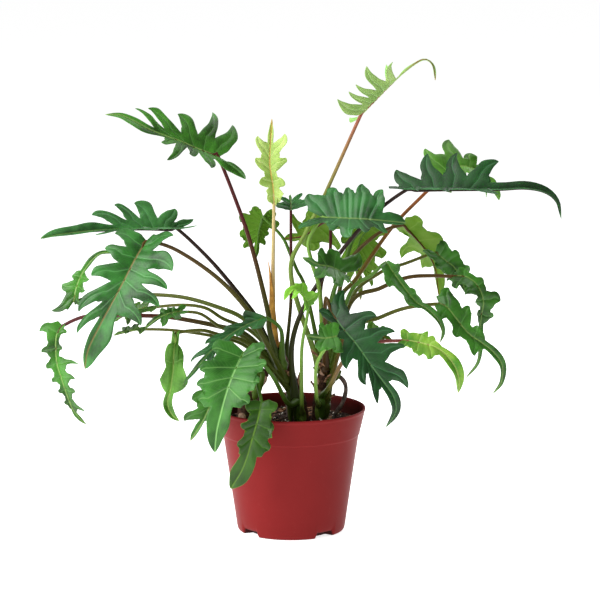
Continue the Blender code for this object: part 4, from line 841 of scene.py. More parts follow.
def stem_bark(looks):
    """Corky bark: dull brown with dark furrows, and pinkish tan where a leaf has fallen."""
    material, tree, shader = new_material("corky_stem_bark", Roughness=0.85, IOR=1.45)
    place = add_node(tree, "ShaderNodeTexCoord").outputs["Object"]
    flat = add_node(tree, "ShaderNodeMapping", {"Vector": place, "Scale": (1.0, 1.0, 3.2)})
    furrows = add_node(tree, "ShaderNodeTexNoise", {
        "Vector": flat.outputs["Vector"], "Scale": pattern_scale(6), "Detail": 7.0,
        "Roughness": 0.7})
    spread = add_node(tree, "ShaderNodeMapRange", {
        "Value": furrows.outputs["Fac"], "From Min": 0.32, "From Max": 0.68})
    bark = add_node(tree, "ShaderNodeMix", {
        0: spread.outputs["Result"], 6: shade("#24130C"), 7: (*looks.colour, 1.0)},
        data_type="RGBA")
    scar = add_node(tree, "ShaderNodeAttribute", attribute_name="scar")
    spots = add_node(tree, "ShaderNodeTexVoronoi", {"Vector": place, "Scale": pattern_scale(1.3)})
    cork = add_node(tree, "ShaderNodeMix", {
        0: spots.outputs["Distance"], 6: shade("#A8705C"), 7: shade("#F0C8AC")}, data_type="RGBA")
    skin = add_node(tree, "ShaderNodeMix", {
        0: scar.outputs["Fac"], 6: bark.outputs[2], 7: cork.outputs[2]}, data_type="RGBA")
    relief = add_node(tree, "ShaderNodeBump", {
        "Height": furrows.outputs["Fac"], "Strength": 0.9, "Distance": 1.2 * MM})
    connect(tree, shader, Base_Color=skin.outputs[2], Normal=relief.outputs["Normal"])
    return material


def stalk_skin(kind, looks):
    """The smooth, faintly ribbed skin of a fleshy stalk, which changes colour towards the blade."""
    foot, top, low, high = STALKS[kind]
    material, tree, shader = new_material(
        f"fleshy_stalk_{kind}", Roughness=looks.stalk_roughness, IOR=1.42,
        Specular_IOR_Level=0.25, Subsurface_Weight=0.08, Subsurface_Radius=(0.9, 1.0, 0.3),
        Subsurface_Scale=2 * MM)
    rise = add_node(tree, "ShaderNodeAttribute", attribute_name="rise")
    across = add_node(tree, "ShaderNodeAttribute", attribute_name="round")
    # Ribs run the length of a stalk, about 0.5 mm apart; the streaks are drawn about twice as wide.
    streaks = add_node(tree, "ShaderNodeTexNoise", {
        "Vector": across.outputs["Vector"], "Scale": 2.2, "Detail": 4.0})
    climb = add_node(tree, "ShaderNodeMapRange", {
        "Value": rise.outputs["Fac"], "From Min": low, "From Max": high})
    body = add_node(tree, "ShaderNodeMix", {
        0: climb.outputs["Result"], 6: shade(foot), 7: shade(top)}, data_type="RGBA")
    darker = add_node(tree, "ShaderNodeMix", {0: 1.0, 6: body.outputs[2], 7: shade("#B4AC9A")},
                      data_type="RGBA", blend_type="MULTIPLY")
    skin = add_node(tree, "ShaderNodeMix", {
        0: streaks.outputs["Fac"], 6: darker.outputs[2], 7: body.outputs[2]}, data_type="RGBA")
    relief = add_node(tree, "ShaderNodeBump", {
        "Height": streaks.outputs["Fac"], "Strength": 0.3, "Distance": 0.4 * MM})
    connect(tree, shader, Base_Color=skin.outputs[2], Normal=relief.outputs["Normal"])
    return material


def leaf_veins(tree, parts, strength):
    """How strong the veins of a blade are at each place: each lobe's own and the side veins.

    Side veins leave a lobe's vein VEIN_SPACING apart and lean forward. Real ones are 0.2 mm wide
    and are drawn at about 0.8 mm. All of them fade out towards the edge.
    """
    slant = add_node(tree, "ShaderNodeMath", {
        0: parts.outputs["X"], 1: -VEIN_LEAN, 2: parts.outputs["Y"]}, operation="MULTIPLY_ADD")
    step = add_node(tree, "ShaderNodeMath", {0: slant.outputs["Value"], 1: VEIN_SPACING / 2},
                    operation="PINGPONG")
    side_veins = add_node(tree, "ShaderNodeMapRange", {
        "Value": step.outputs["Value"], "From Min": 0.1, "From Max": 0.6,
        "To Min": 0.2 * strength, "To Max": 0.0})
    vein = add_node(tree, "ShaderNodeMapRange", {
        "Value": parts.outputs["X"], "From Min": 0.3, "From Max": 0.9, "To Min": strength,
        "To Max": 0.0})
    inward = add_node(tree, "ShaderNodeMapRange", {
        "Value": parts.outputs["Z"], "From Min": 0.3, "From Max": 3.5})
    veins = add_node(tree, "ShaderNodeMath", {
        0: vein.outputs["Result"], 1: side_veins.outputs["Result"]}, operation="MAXIMUM")
    net = add_node(tree, "ShaderNodeMath", {
        0: veins.outputs["Value"], 1: inward.outputs["Result"]}, operation="MULTIPLY")
    return net.outputs["Value"]


def leaf_skin(tone, beneath, looks):
    """Waxy leaf skin, smooth above and dull and paler beneath.

    The blade's attributes give each place in mm: lobe is (distance from the lobe's vein, distance
    along it, distance from the edge) and rib is the distance from the rib.
    """
    hues = TONES[tone]
    side = "dull_underside" if beneath else "waxy_leaf"
    material, tree, shader = new_material(
        f"{side}_{tone}", IOR=1.42, Specular_IOR_Level=0.14 if beneath else 0.41,
        Subsurface_Weight=0.1, Subsurface_Radius=(0.5, 1.0, 0.15), Subsurface_Scale=2 * MM,
        Coat_Weight=0.0 if beneath else looks.wax, Coat_Roughness=0.3)
    place = add_node(tree, "ShaderNodeTexCoord").outputs["Object"]
    lobe = add_node(tree, "ShaderNodeAttribute", attribute_name="lobe")
    parts = add_node(tree, "ShaderNodeSeparateXYZ", {"Vector": lobe.outputs["Vector"]})
    rib = add_node(tree, "ShaderNodeAttribute", attribute_name="rib")
    net = leaf_veins(tree, parts, hues.veins)
    midrib = add_node(tree, "ShaderNodeMapRange", {
        "Value": rib.outputs["Fac"], "From Min": 0.4, "From Max": 1.2, "To Min": 0.8,
        "To Max": 0.0})
    margin = add_node(tree, "ShaderNodeMapRange", {
        "Value": parts.outputs["Z"], "From Min": 0.25, "From Max": 0.7, "To Min": 0.3,
        "To Max": 0.0})

    patches = add_node(tree, "ShaderNodeTexNoise", {
        "Vector": place, "Scale": pattern_scale(22), "Detail": 4.0})
    spread = add_node(tree, "ShaderNodeMapRange", {
        "Value": patches.outputs["Fac"], "From Min": 0.35, "From Max": 0.65})
    dark, light = shade(hues.body), shade(hues.light)
    if beneath:
        dark = shade(hues.under)
        light = [(low + high) / 2 for low, high in zip(dark, shade(hues.vein))]
    body = add_node(tree, "ShaderNodeMix", {0: spread.outputs["Result"], 6: dark, 7: light},
                    data_type="RGBA")
    veined = add_node(tree, "ShaderNodeMix", {
        0: net, 6: body.outputs[2], 7: shade(hues.vein)}, data_type="RGBA")
    edged = add_node(tree, "ShaderNodeMix", {
        0: margin.outputs["Result"], 6: veined.outputs[2], 7: shade(hues.edge)}, data_type="RGBA")
    skin = add_node(tree, "ShaderNodeMix", {
        0: midrib.outputs["Result"], 6: edged.outputs[2], 7: shade(hues.rib)}, data_type="RGBA")
    # Cells of the skin are about 0.05 mm; their faint relief is drawn at 0.7 mm. Veins are sunk
    # into the upper side and raised beneath.
    cells = add_node(tree, "ShaderNodeTexNoise", {
        "Vector": place, "Scale": pattern_scale(0.7), "Detail": 2.0})
    height = add_node(tree, "ShaderNodeMath", {
        0: net, 1: 1.5 if beneath else -1.5, 2: cells.outputs["Fac"]}, operation="MULTIPLY_ADD")
    relief = add_node(tree, "ShaderNodeBump", {
        "Height": height.outputs["Value"], "Strength": 0.22, "Distance": 0.3 * MM})
    roughness = hues.roughness + (0.22 if beneath else 0.0)
    sheen = add_node(tree, "ShaderNodeMapRange", {
        "Value": patches.outputs["Fac"], "To Min": roughness - 0.06,
        "To Max": roughness + 0.08})
    connect(tree, shader, Base_Color=skin.outputs[2], Roughness=sheen.outputs["Result"],
            Normal=relief.outputs["Normal"])
    return material


def studio_floor(looks):
    """A seamless white sheet of studio paper, matt, with a faint tooth."""
    material, tree, shader = new_material(
        "white_studio_paper", Roughness=0.9, Emission_Color=shade("#FFFFFF"),
        Emission_Strength=looks.glow)
    place = add_node(tree, "ShaderNodeTexCoord").outputs["Object"]
    tooth = add_node(tree, "ShaderNodeTexNoise", {
        "Vector": place, "Scale": pattern_scale(50), "Detail": 2.0})
    pale = (*(channel * 0.985 for channel in looks.colour), 1.0)
    paper = add_node(tree, "ShaderNodeMix", {
        0: tooth.outputs["Fac"], 6: pale, 7: (*looks.colour, 1.0)}, data_type="RGBA")
    connect(tree, shader, Base_Color=paper.outputs[2])
    return material


def body_radius(height):
    """The pot's outer radius at a height, below the band."""
    return BASE_RADIUS + BODY_SLOPE * height


def pot_turns():
    """Columns round the pot, evenly spaced in each quarter but for one on each notch corner."""
    half = math.asin(NOTCH_WIDTH / 2 / BASE_RADIUS)
    top = math.asin((NOTCH_WIDTH / 2 - NOTCH_TAPER) / BASE_RADIUS)
    corners = np.array((-half, -top, top, half, math.tau / NOTCHES - half))
    marks = np.interp(np.arange(TURN_STEPS) / TURN_STEPS, (0, 0.06, 0.3, 0.36, 1.0), corners)
    return (NOTCH_TURN + np.arange(NOTCHES)[:, None] * math.tau / NOTCHES + marks).ravel()


def notch_rise(turns):
    """How high the underside is raised: NOTCH_HEIGHT in a notch, easing off over its taper."""
    step = math.tau / NOTCHES
    away = np.abs((turns - NOTCH_TURN + step / 2) % step - step / 2)
    inside = NOTCH_WIDTH / 2 - BASE_RADIUS * np.sin(away)
    return NOTCH_HEIGHT * ease(inside / NOTCH_TAPER)


def turned_rows(profile, turns, rise):
    """A profile of (radius, height, share of the rise) turned round the pot's axis."""
    radius, height, share = np.array(profile, float).T[..., None]
    height = height + share * rise
    return np.stack((radius * np.sin(turns), -radius * np.cos(turns),
                     np.broadcast_to(height, (len(profile), len(turns)))), axis=-1)


def hollow_profile(gap, top):
    """The pot's hollow below a height, smaller by a gap on each side, from its wall to the axis."""
    side = WALL + gap
    floor = FLOOR + gap
    inner = BASE_RADIUS - NOTCH_DEPTH - gap
    heights = np.linspace(top, floor + 12.0, 9)
    profile = [(body_radius(height) - side, height, 0.0) for height in heights]
    profile += [(body_radius(7.0) - side, floor + 5.0, 0.4),
                (body_radius(4.0) - side - 0.8, floor + 2.0, 0.9),
                (body_radius(2.0) - side - 2.4, floor, 1.0), (inner - 1.2, floor, 1.0),
                (inner - 2.4, floor, 0.0), (inner - 8.0, floor, 0.0), (20.0, floor, 0.0),
                (0.0, floor, 0.0)]
    return profile


def build_pot(looks):
    """The nursery pot: a profile turned round its axis, with the underside raised in four notches.

    Down its outer side the radius is BASE_RADIUS + BODY_SLOPE * height, and the band under the rim
    stands out from that by BAND_STEP.
    """
    # Each row is (radius, height, share of the notches' rise); the lip's heights are from its top.
    band = body_radius(BAND)
    foot = [(body_radius(height), height, share) for height, share in
            ((60.0, 0.0), (30.0, 0.0), (16.0, 0.0), (9.0, 0.35), (4.0, 0.85))]
    edge = band + BAND_STEP
    lip = [(BAND_TOP_RADIUS - WALL, -4.0), (RIM_RADIUS - WALL - 0.7, -1.8),
           (RIM_RADIUS - WALL - 0.4, -0.7), (RIM_RADIUS - 1.5, -0.1), (RIM_RADIUS - 0.8, 0.0),
           (RIM_RADIUS - 0.25, -0.3), (RIM_RADIUS, -0.9), (RIM_RADIUS - 0.05, -2.2),
           (RIM_RADIUS - 0.4, -2.9), (BAND_TOP_RADIUS + 0.1, -3.3), (BAND_TOP_RADIUS - 0.1, -5.0)]
    outer = [(radius, POT_HEIGHT + height, 0.0) for radius, height in lip]
    outer += [(edge + 2.8, BAND + 13.5, 0.0), (edge + 0.05, BAND + 1.6, 0.0),
              (edge - 0.1, BAND + 0.5, 0.0), (edge - 0.5, BAND, 0.0),
              (band + 0.15, BAND - 0.5, 0.0), (band - 0.1, BAND - 1.4, 0.0)]
    inmost = BASE_RADIUS - NOTCH_DEPTH
    under = [(BASE_RADIUS - 0.1, 1.6, 1.0), (BASE_RADIUS - 0.9, 0.5, 1.0),
             (BASE_RADIUS - 2.4, 0.0, 1.0), (inmost + 0.6, 0.0, 1.0), (inmost - 0.4, 0.0, 0.0),
             (inmost - 6.0, 0.0, 0.0), (20.0, 0.0, 0.0), (0.0, 0.0, 0.0)]
    inner = hollow_profile(0.0, BAND - 2.0)[::-1]
    inner += [(edge - WALL, BAND + 2.0, 0.0)]
    turns = pot_turns()
    rows = turned_rows(inner + outer + foot + under, turns, notch_rise(turns))
    faces = grid_faces(len(rows), len(turns), True)
    pot = add_piece("pot_shell", ["pot"], rows, faces[:, ::-1],
                    [moulded_plastic(looks)])
    make_drains(pot)


def make_drains(pot):
    """Cut the round drain hole through the roof of each notch."""
    form = bmesh.new()
    middle = (BASE_RADIUS - NOTCH_DEPTH / 2) * MM
    for turn in NOTCH_TURN + np.arange(NOTCHES) * math.tau / NOTCHES:
        made = bmesh.ops.create_cone(form, cap_ends=True, segments=DRAIN_SIDES,
                                     radius1=DRAIN_RADIUS * MM, radius2=DRAIN_RADIUS * MM,
                                     depth=DRAIN_CUT * MM)
        bmesh.ops.translate(form, verts=made["verts"],
                            vec=(middle * math.sin(turn), -middle * math.cos(turn), 0.0))
    mesh = bpy.data.meshes.new("drain_cutters")
    form.to_mesh(mesh)
    form.free()
    cutter = bpy.data.objects.new("drain_cutters", mesh)
    bpy.context.scene.collection.objects.link(cutter)
    step = pot.modifiers.new("drains", "BOOLEAN")
    step.operation = "DIFFERENCE"
    step.object = cutter
    bpy.context.view_layer.update()
    cut = bpy.data.meshes.new_from_object(pot.evaluated_get(bpy.context.evaluated_depsgraph_get()))
    pot.modifiers.clear()
    pot.data = cut
    cut.shade_smooth()
    bpy.data.objects.remove(cutter)


def soil_height(across, back):
    """The height of the soil's top: long lumps as in the solid, and crumbs, level at the wall."""
    waves = np.sin(0.21 * across + 0.4) * np.cos(0.17 * back)
    waves = waves + 0.6 * np.sin(0.33 * back + 0.1 * across)
    radius = np.hypot(across, back)
    inward = np.clip(1 - radius / body_radius(SOIL_TOP), 0.0, 1.0) ** 0.5
    flat = np.stack((across, back, np.zeros_like(across)), axis=-1)
    crumbs = SOIL_CRUMB * (0.6 * np.abs(ripples(flat, 7.0, 5)) + 0.5 * ripples(flat, 3.0, 6))
    return SOIL_TOP + SOIL_LUMP * waves * inward + crumbs * np.clip(inward * 3.0, 0.0, 1.0)


def build_soil(looks):
    """Potting mix that fills the pot: a turned body whose top is raised by soil_height."""
    profile = hollow_profile(SOIL_GAP, SOIL_TOP)
    turns = np.arange(SOIL_COLUMNS) * math.tau / SOIL_COLUMNS
    sides = turned_rows(profile, turns, notch_rise(turns) + 2 * SOIL_GAP)
    radii = np.linspace(0.0, profile[0][0], SOIL_RINGS, endpoint=False)[:, None]
    across, back = radii * np.sin(turns), -radii * np.cos(turns)
    top = np.stack((across, back, soil_height(across, back)), axis=-1)
    top[0, :, 2] = top[0, 0, 2]
    rows = np.concatenate((top, sides))
    faces = grid_faces(len(rows), len(turns), True)
    add_piece("soil_body", ["soil"], rows, faces[:, ::-1], [potting_mix(looks)])


def scattered(count, seed, size, flatness):
    """Rough lumps strewn on the soil: small spheres, each stretched, turned and made uneven."""
    chance = np.random.default_rng(seed)
    rise = np.linspace(0, math.pi, LUMP_ROWS)[:, None]
    turns = np.arange(LUMP_COLUMNS) * math.tau / LUMP_COLUMNS
    ball = np.stack((np.sin(rise) * np.cos(turns), np.sin(rise) * np.sin(turns),
                     np.cos(rise) * np.ones(LUMP_COLUMNS)), axis=-1)
    scale = size * chance.uniform(0.6, 1.4, (count, 1, 1, 1)) * np.stack(
        (chance.uniform(0.8, 1.7, count), chance.uniform(0.6, 1.1, count),
         np.full(count, flatness)), axis=-1)[:, None, None]
    uneven = chance.normal(size=(count, LUMP_ROWS, LUMP_COLUMNS, 1)).clip(-1.5, 1.5)
    uneven = 1 + 0.22 * uneven
    uneven[:, (0, -1)] = 1.0
    lumps = ball * uneven * scale
    spin, lean = chance.uniform(0, math.tau, count), chance.normal(0, 0.35, count)
    zero, one = np.zeros(count), np.ones(count)
    tip = np.array([[one, zero, zero], [zero, np.cos(lean), -np.sin(lean)],
                    [zero, np.sin(lean), np.cos(lean)]])
    turn = np.array([[np.cos(spin), -np.sin(spin), zero], [np.sin(spin), np.cos(spin), zero],
                     [zero, zero, one]])
    lumps = np.einsum("abn,bcn,nijc->nija", turn, tip, lumps)
    radius = (body_radius(SOIL_TOP) - 6.0) * np.sqrt(chance.uniform(0.0, 1.0, count))
    way = chance.uniform(0, math.tau, count)
    across, back = radius * np.cos(way), radius * np.sin(way)
    height = soil_height(across, back) + size * flatness * 0.35
    lumps = lumps + np.stack((across, back, height), axis=-1)[:, None, None]
    faces = grid_faces(LUMP_ROWS, LUMP_COLUMNS, True)[:, ::-1]
    return lumps, repeated(faces, count, LUMP_ROWS * LUMP_COLUMNS)


def build_crumbs():
    """Perlite beads, bark chips and dark crumbs that lie loose on the soil."""
    for name, count, seed, size, flatness, finish in CRUMBS:
        places, faces = scattered(count, seed, size, flatness)
        add_piece(name, [], places, faces, [crumb_material(*finish)])


def build_stem(stem, looks):
    """A stem carried along its route, with ring swellings, uneven bark and raised round leaf scars.

    Its radius is foot + (top - foot) * share, times 1 + RING_SWELL sin of its rings, plus the
    relief. Furrows run round it, and its end is rounded over the last STEM_ROUND mm.
    """
    path = Path(stem.route)
    shares = np.linspace(0, 1, STEM_ROWS)
    middle, first, second = path.carried(shares, FRONT)
    turns = np.arange(STEM_SIDES) * math.tau / STEM_SIDES
    plain = stem.foot + (stem.top - stem.foot) * shares
    plain = plain * (1 + RING_SWELL * np.sin(shares * math.tau * STEM_RINGS))
    along = shares * path.length
    ways = first[:, None] * np.cos(turns)[:, None] + second[:, None] * np.sin(turns)[:, None]
    spots = middle[:, None] + ways * plain[:, None, None]
    relief = 0.35 * ripples(spots * (1, 1, 3.0), 9.0, 3)
    relief += 0.22 * ripples(spots * (1, 1, 2.0), 3.4, 4)
    furrow = np.exp(-((along % FURROW_SPACING - FIRST_FURROW) / FURROW_WIDTH) ** 2)
    relief -= FURROW_DEPTH * furrow[:, None]
    scarred = np.zeros_like(relief)
    for share, turn in stem.scars:
        aside = (turns - math.radians(turn) + math.pi) % math.tau - math.pi
        away = np.hypot((along - share * path.length)[:, None], plain[:, None] * aside)
        spot = ease((SCAR_RADIUS + 0.6 - away) / 1.2)
        rim = 0.45 * np.exp(-((away - SCAR_RADIUS) / 0.7) ** 2)
        relief = relief * (1 - spot) + SCAR_HEIGHT * spot * 0.85 + rim
        scarred = np.maximum(scarred, ease((SCAR_RADIUS + 0.2 - away) / 0.8))
    over = ((along - path.length + STEM_ROUND) / STEM_ROUND).clip(0, 1)
    top = np.sqrt(np.clip(1 - over ** 2, 0.0, 1.0))
    radii = (plain[:, None] + relief) * top[:, None]
    rows = tube(path, shares, radii, FRONT, STEM_SIDES)
    scarred = np.concatenate((scarred[:1], scarred, scarred[-1:]))
    faces = grid_faces(len(rows), STEM_SIDES, True)
    add_piece(f"{stem.name}_wood", [stem.name], rows, faces, [stem_bark(looks)],
              {"scar": scarred})
    for number, route in enumerate(stem.roots):
        build_root(stem, number, route)
    build_husks(stem, path)


def build_husks(stem, path):
    """The dry sheath scales that old leaves left round a stem.

    Each is a patch of a cone: its height along the stem grows with u from 0 to 1, it stands off
    the bark by 0.4 + flare u^2, and its half angle shrinks as 1 - 0.55 u^2 to a ragged top.
    """
    up, over = np.meshgrid(np.linspace(0, 1, HUSK_ROWS), np.linspace(-1, 1, HUSK_COLUMNS),
                           indexing="ij")
    patches = []
    for number, (share, turn, height, flare, half) in enumerate(HUSKS[stem.name]):
        chance = np.random.default_rng([number, len(stem.name)])
        ragged = 1 - 0.2 * np.abs(over) - 0.14 * chance.uniform(0, 1, HUSK_COLUMNS)
        shares = np.clip(share + up * ragged * height / path.length, 0.0, 1.0)
        place, ahead, aside = (part.reshape(*up.shape, 3)
                               for part in path.carried(shares.ravel(), FRONT))
        angle = math.radians(turn) + over * math.radians(half) * (1 - 0.55 * up ** 2)
        angle = (angle + 0.08 * np.sin(up * 5))[..., None]
        radius = stem.foot + 0.4 + flare * up ** 2 + 0.5 * np.sin(over * 4 + number)
        patches.append(place + (ahead * np.cos(angle) + aside * np.sin(angle)) * radius[..., None])
    faces = repeated(grid_faces(*up.shape), len(patches), up.size)
    scale = crumb_material(f"dry_sheath_{stem.name}", "#5C3222", "#D8A680", 4.0, 0.8)
    piece = add_piece(f"{stem.name}_husks", [stem.name], np.array(patches), faces,
                      [scale])
    thicken(piece, HUSK_THICKNESS * MM)


def build_root(stem, number, route):
    """An aerial root: a tube whose radius wavers by a tenth along it and thickens at its stem."""
    path = Path(route)
    shares = np.linspace(0, 1, ROOT_ROWS)
    radii = ROOT_RADIUS * (1 + 0.1 * np.sin(shares * 37.0) + 0.35 * np.exp(-shares * 14.0))
    spots = np.repeat(shares[:, None, None], ROOT_SIDES, axis=1) * (path.length, 3.0, 1.0)
    radii = radii[:, None] + 0.1 * ripples(spots, 5.0, 8)
    rows = tube(path, shares, radii, path.flat_way(), ROOT_SIDES)
    cork = crumb_material(f"aerial_root_{stem.name}", "#3A2C28", "#7E6A62", 5.0, 0.7)
    add_piece(f"{stem.name}_root_{number}", [stem.name], rows,
              grid_faces(len(rows), ROOT_SIDES, True), [cork])


class Blade:
    """The blade of a leaf: its rib, the lobes on both sides of it and the end lobe.

    Each half is drawn flat, as (distance along the rib, distance out from it), and then bent to
    the rib. A side is 1 or -1. Lobes fan out from the rib, so none can cross its neighbour.
    """

    def __init__(self, leaf):
        self.leaf = leaf
        self.rib = Path([sight(*place) for place in leaf.rib])
        self.length = self.rib.length
        self.count = len(leaf.lobes)
        self.roots = [self.length * leaf.ends * (number / self.count) ** 0.9
                      for number in range(self.count + 1)]
        self.lobes = self.find_lobes()
        self.end_width = {side: self.find_end_width(side) for side in (1, -1)}

    def ways(self, along, side):
        """Places on the rib, the rib's direction, the half's way out and the upper side."""
        along = np.asarray(along, float)
        share = np.clip(along / self.length, 0.0, 1.0)
        ahead = self.rib.along(share)
        far = share[..., None]
        face = np.array(self.leaf.face) * (1 - far)
        face = face + np.array(self.leaf.tip_face or self.leaf.face) * far
        level = unit(np.cross(face, ahead))
        upper = np.cross(ahead, level)
        fold = math.radians(self.leaf.fold)
        outward = side * level * math.cos(fold) + upper * math.sin(fold)
        place = self.rib.at(share) + ahead * (along - share * self.length)[..., None]
        return place, ahead, outward, upper

    def place(self, flat, side, raised=0.0):
        """Real places of flat ones that are v out: start + outward v + upper (camber + raised).

        The camber is CAMBER v (1 - v / CAMBER_SPAN).
        """
        along, out = flat[..., 0], flat[..., 1:2]
        start, _, outward, upper = self.ways(along, side)
        lift = CAMBER * out * (1 - out / CAMBER_SPAN) + np.asarray(raised)[..., None]
        return start + outward * out + upper * lift

    def flatten(self, seen, side, guess):
        """The flat place that is seen at (across, up), found by stepping towards it."""
        flat = np.array(guess, float)
        for _ in range(FLATTEN_STEPS):
            here = front_view(self.place(flat, side))
            slopes = np.stack([front_view(self.place(flat + step, side)) - here
                               for step in np.eye(2)], axis=-1)
            move = np.linalg.lstsq(slopes, np.array(seen) - here, rcond=0.1)[0]
            flat += move * min(1.0, FLATTEN_STRIDE / (np.linalg.norm(move) + 0.001))
            flat[1] = min(max(flat[1], MIN_REACH), MAX_REACH)
        return flat

    def find_tips(self):
        """The flat places of the lobes' tips on each side."""
        bases = [(first + last) / 2 for first, last in zip(self.roots, self.roots[1:])]
        turned_over = 0.0
        for base, pair in zip(bases, self.leaf.lobes):
            start, ahead, outward, _ = self.ways(base, 1)
            middle = front_view(start)
            ahead = front_view(start + ahead) - middle
            left = front_view(start + outward) - middle
            for order, seen in zip((1, -1), pair):
                if seen:
                    there = np.array(seen) - middle
                    turned_over += (order * (ahead[0] * there[1] - ahead[1] * there[0])
                                    * np.sign(ahead[0] * left[1] - ahead[1] * left[0]))
        tips = {1: [], -1: []}
        for base, pair in zip(bases, self.leaf.lobes):
            pair = pair if turned_over > 0 else pair[::-1]
            found = {side: self.flatten(seen, side, (base, MIN_REACH * 4))
                     for side, seen in zip((1, -1), pair) if seen}
            for side in (1, -1):
                tips[side].append(found.get(side, found.get(-side)))
        return tips

    def find_lobes(self):
        """For each side, the lobes as (distance along the rib, angle from it, reach)."""
        lobes = {}
        for side, tips in self.find_tips().items():
            tips.sort(key=lambda tip: tip[0] - tip[1] * LEAN)
            lobes[side] = []
            angle = math.pi
            for number, tip in enumerate(tips):
                base = (self.roots[number] + self.roots[number + 1]) / 2
                reach = min(math.hypot(tip[0] - base, tip[1]), MAX_REACH)
                angle = min(math.atan2(tip[1], tip[0] - base), angle - FAN)
                angle = min(max(angle, LEAST_ANGLE + FAN * (self.count - number)), MOST_ANGLE)
                lobes[side].append((base, angle, reach))
        return lobes

    def divide(self, number, side):
        """The ray that starts a lobe's room, between it and the one before, as start and angle."""
        lobes = self.lobes[side]
        start = np.array((self.roots[number], 0.0))
        if number == 0:
            return start, min(lobes[0][1] + BACK_ROOM, MOST_ANGLE + FAN)
        if number == self.count:
            return start, lobes[-1][1] * END_ANGLE_SHARE
        return start, (lobes[number - 1][1] + lobes[number][1]) / 2

    def find_end_width(self, side):
        """Half the end lobe's width, kept inside the ray before it."""
        start, angle = self.divide(self.count, side)
        room = (self.length - start[0]) * END_SHOULDER * math.tan(min(angle, 1.2)) - MARGIN
        return min(END_WIDTH * self.length * self.leaf.wide * self.leaf.end, room)

    def sinus(self, number, side):
        """The bottom of the cut on the ray before a lobe."""
        start, ray = self.divide(number, side)
        beside = [other for other in (number - 1, number) if 0 <= other < self.count]
        depth = self.leaf.cut * min(self.lobes[side][other][2] for other in beside)
        if number == 0:
            depth *= BACK_SHARE
        if number == self.count:
            depth = min(depth, self.end_width[side] * 0.8 / math.sin(ray))
        return start + np.array((math.cos(ray), math.sin(ray))) * depth

    def tip(self, number, side):
        """The flat place of a lobe's tip."""
        base, angle, reach = self.lobes[side][number]
        return np.array((base + math.cos(angle) * reach, math.sin(angle) * reach))

    def chance(self, number, side):
        """Seeded random numbers of one lobe."""
        return np.random.default_rng([LEAVES.index(self.leaf), number, side + 1])

    def half_widths(self, share, here, across, number, side, length):
        """How far a lobe reaches to its back and front from its middle line.

        Near the cuts it is the room up to the dividing ray, less a gap that grows as the square
        root of the distance; it flares to the neck; then it is its greatest width. All of it is
        times (1 - share^2.8)^0.8 at the back and (1 - share^1.9)^0.85 at the front, so that it
        sweeps forward to its tip.
        """
        half = np.linalg.norm(self.sinus(number + 1, side) - self.sinus(number, side)) / 2
        most = min(2 * half * NECK_SHARE, MAX_HALF_WIDTH * self.leaf.wide)
        chance = self.chance(number, side)
        widths = []
        for other, power, blunt in ((number, 2.8, 0.8), (number + 1, 1.9, 0.85)):
            start, ray = self.divide(other, side)
            normal = np.array((math.sin(ray), -math.cos(ray)))
            room = np.abs(((start - here) @ normal) / (across @ normal))
            gap = (1 - ROOM_SHARE) * np.sqrt(np.clip(share * length / ROUNDING, 0.0, 1.0))
            width = ((room * (1 - gap)) ** -6.0 + most ** -6.0) ** (-1 / 6)
            width = width + (half - width[0]) * (1 - ease(share / 0.35))
            wave = WAVE * np.sin(share * chance.uniform(7.0, 13.0) + chance.uniform(0.0, math.tau))
            widths.append(width * (1 + wave * ease(share / 0.25)) * (1 - share ** power) ** blunt)
        return widths

    def lobe(self, number, side):
        """A lobe with its part of the web: flat places, how far they are raised, what veins follow.

        Rows run from the rib to the tip and columns t from -1 to 1 across. In the web a row is
        the line between the two dividing rays; in the lobe it lies across the middle line, which
        bows back by BOW 4q(1 - q) of its length.
        """
        back, front = self.sinus(number, side), self.sinus(number + 1, side)
        roots = [np.array((self.roots[other], 0.0)) for other in (number, number + 1)]
        neck = (back + front) / 2
        reach = self.tip(number, side) - neck
        length = np.linalg.norm(reach)
        ahead = reach / length
        backward = np.array((-ahead[1], ahead[0]))
        chord = unit(front - back)
        share = (1 - np.cos(np.linspace(0, math.pi, LOBE_ROWS + 1))) / 2
        bow = BOW * length * 4 * share * (1 - share)
        here = neck + reach * share[:, None] + backward * bow[:, None]
        way = ahead + backward * (BOW * 4 * (1 - 2 * share))[:, None]
        square = unit(np.stack((way[:, 1], -way[:, 0]), axis=-1))
        across = unit(chord + (square - chord) * ease(share / 0.5)[:, None])
        behind, before = self.half_widths(share, here, across, number, side, length)
        web = np.linspace(0, 1, WEB_ROWS, endpoint=False)[:, None]
        left = np.vstack((roots[0] + (back - roots[0]) * web, here - across * behind[:, None]))
        right = np.vstack((roots[1] + (front - roots[1]) * web, here + across * before[:, None]))
        root = (roots[0] + roots[1]) / 2
        middle = np.vstack((root + (neck - root) * web, here))
        columns = np.linspace(-1, 1, LOBE_COLUMNS + 1)
        lean = (middle - (left + right) / 2)[:, None] * (1 - columns[:, None] ** 2)
        flat = left[:, None] + (right - left)[:, None] * ((columns + 1) / 2)[:, None] + lean

        half = np.linalg.norm(right - left, axis=1)[:, None] / 2
        steps = np.linalg.norm(np.diff(middle, axis=0), axis=1)
        along = np.concatenate(((0.0,), np.cumsum(steps)))[:, None]
        vein = np.abs(columns) * half
        in_web = np.concatenate((1 - web[:, 0], np.zeros(len(share))))[:, None]
        open_back = 0.0 if number == 0 else np.linalg.norm(back - roots[0])
        to_cut = np.where(columns < 0, open_back, np.linalg.norm(front - roots[1]))
        edge = (1 - np.abs(columns)) * half + in_web * to_cut
        follow = np.stack((vein, np.broadcast_to(along, vein.shape), edge), axis=-1)

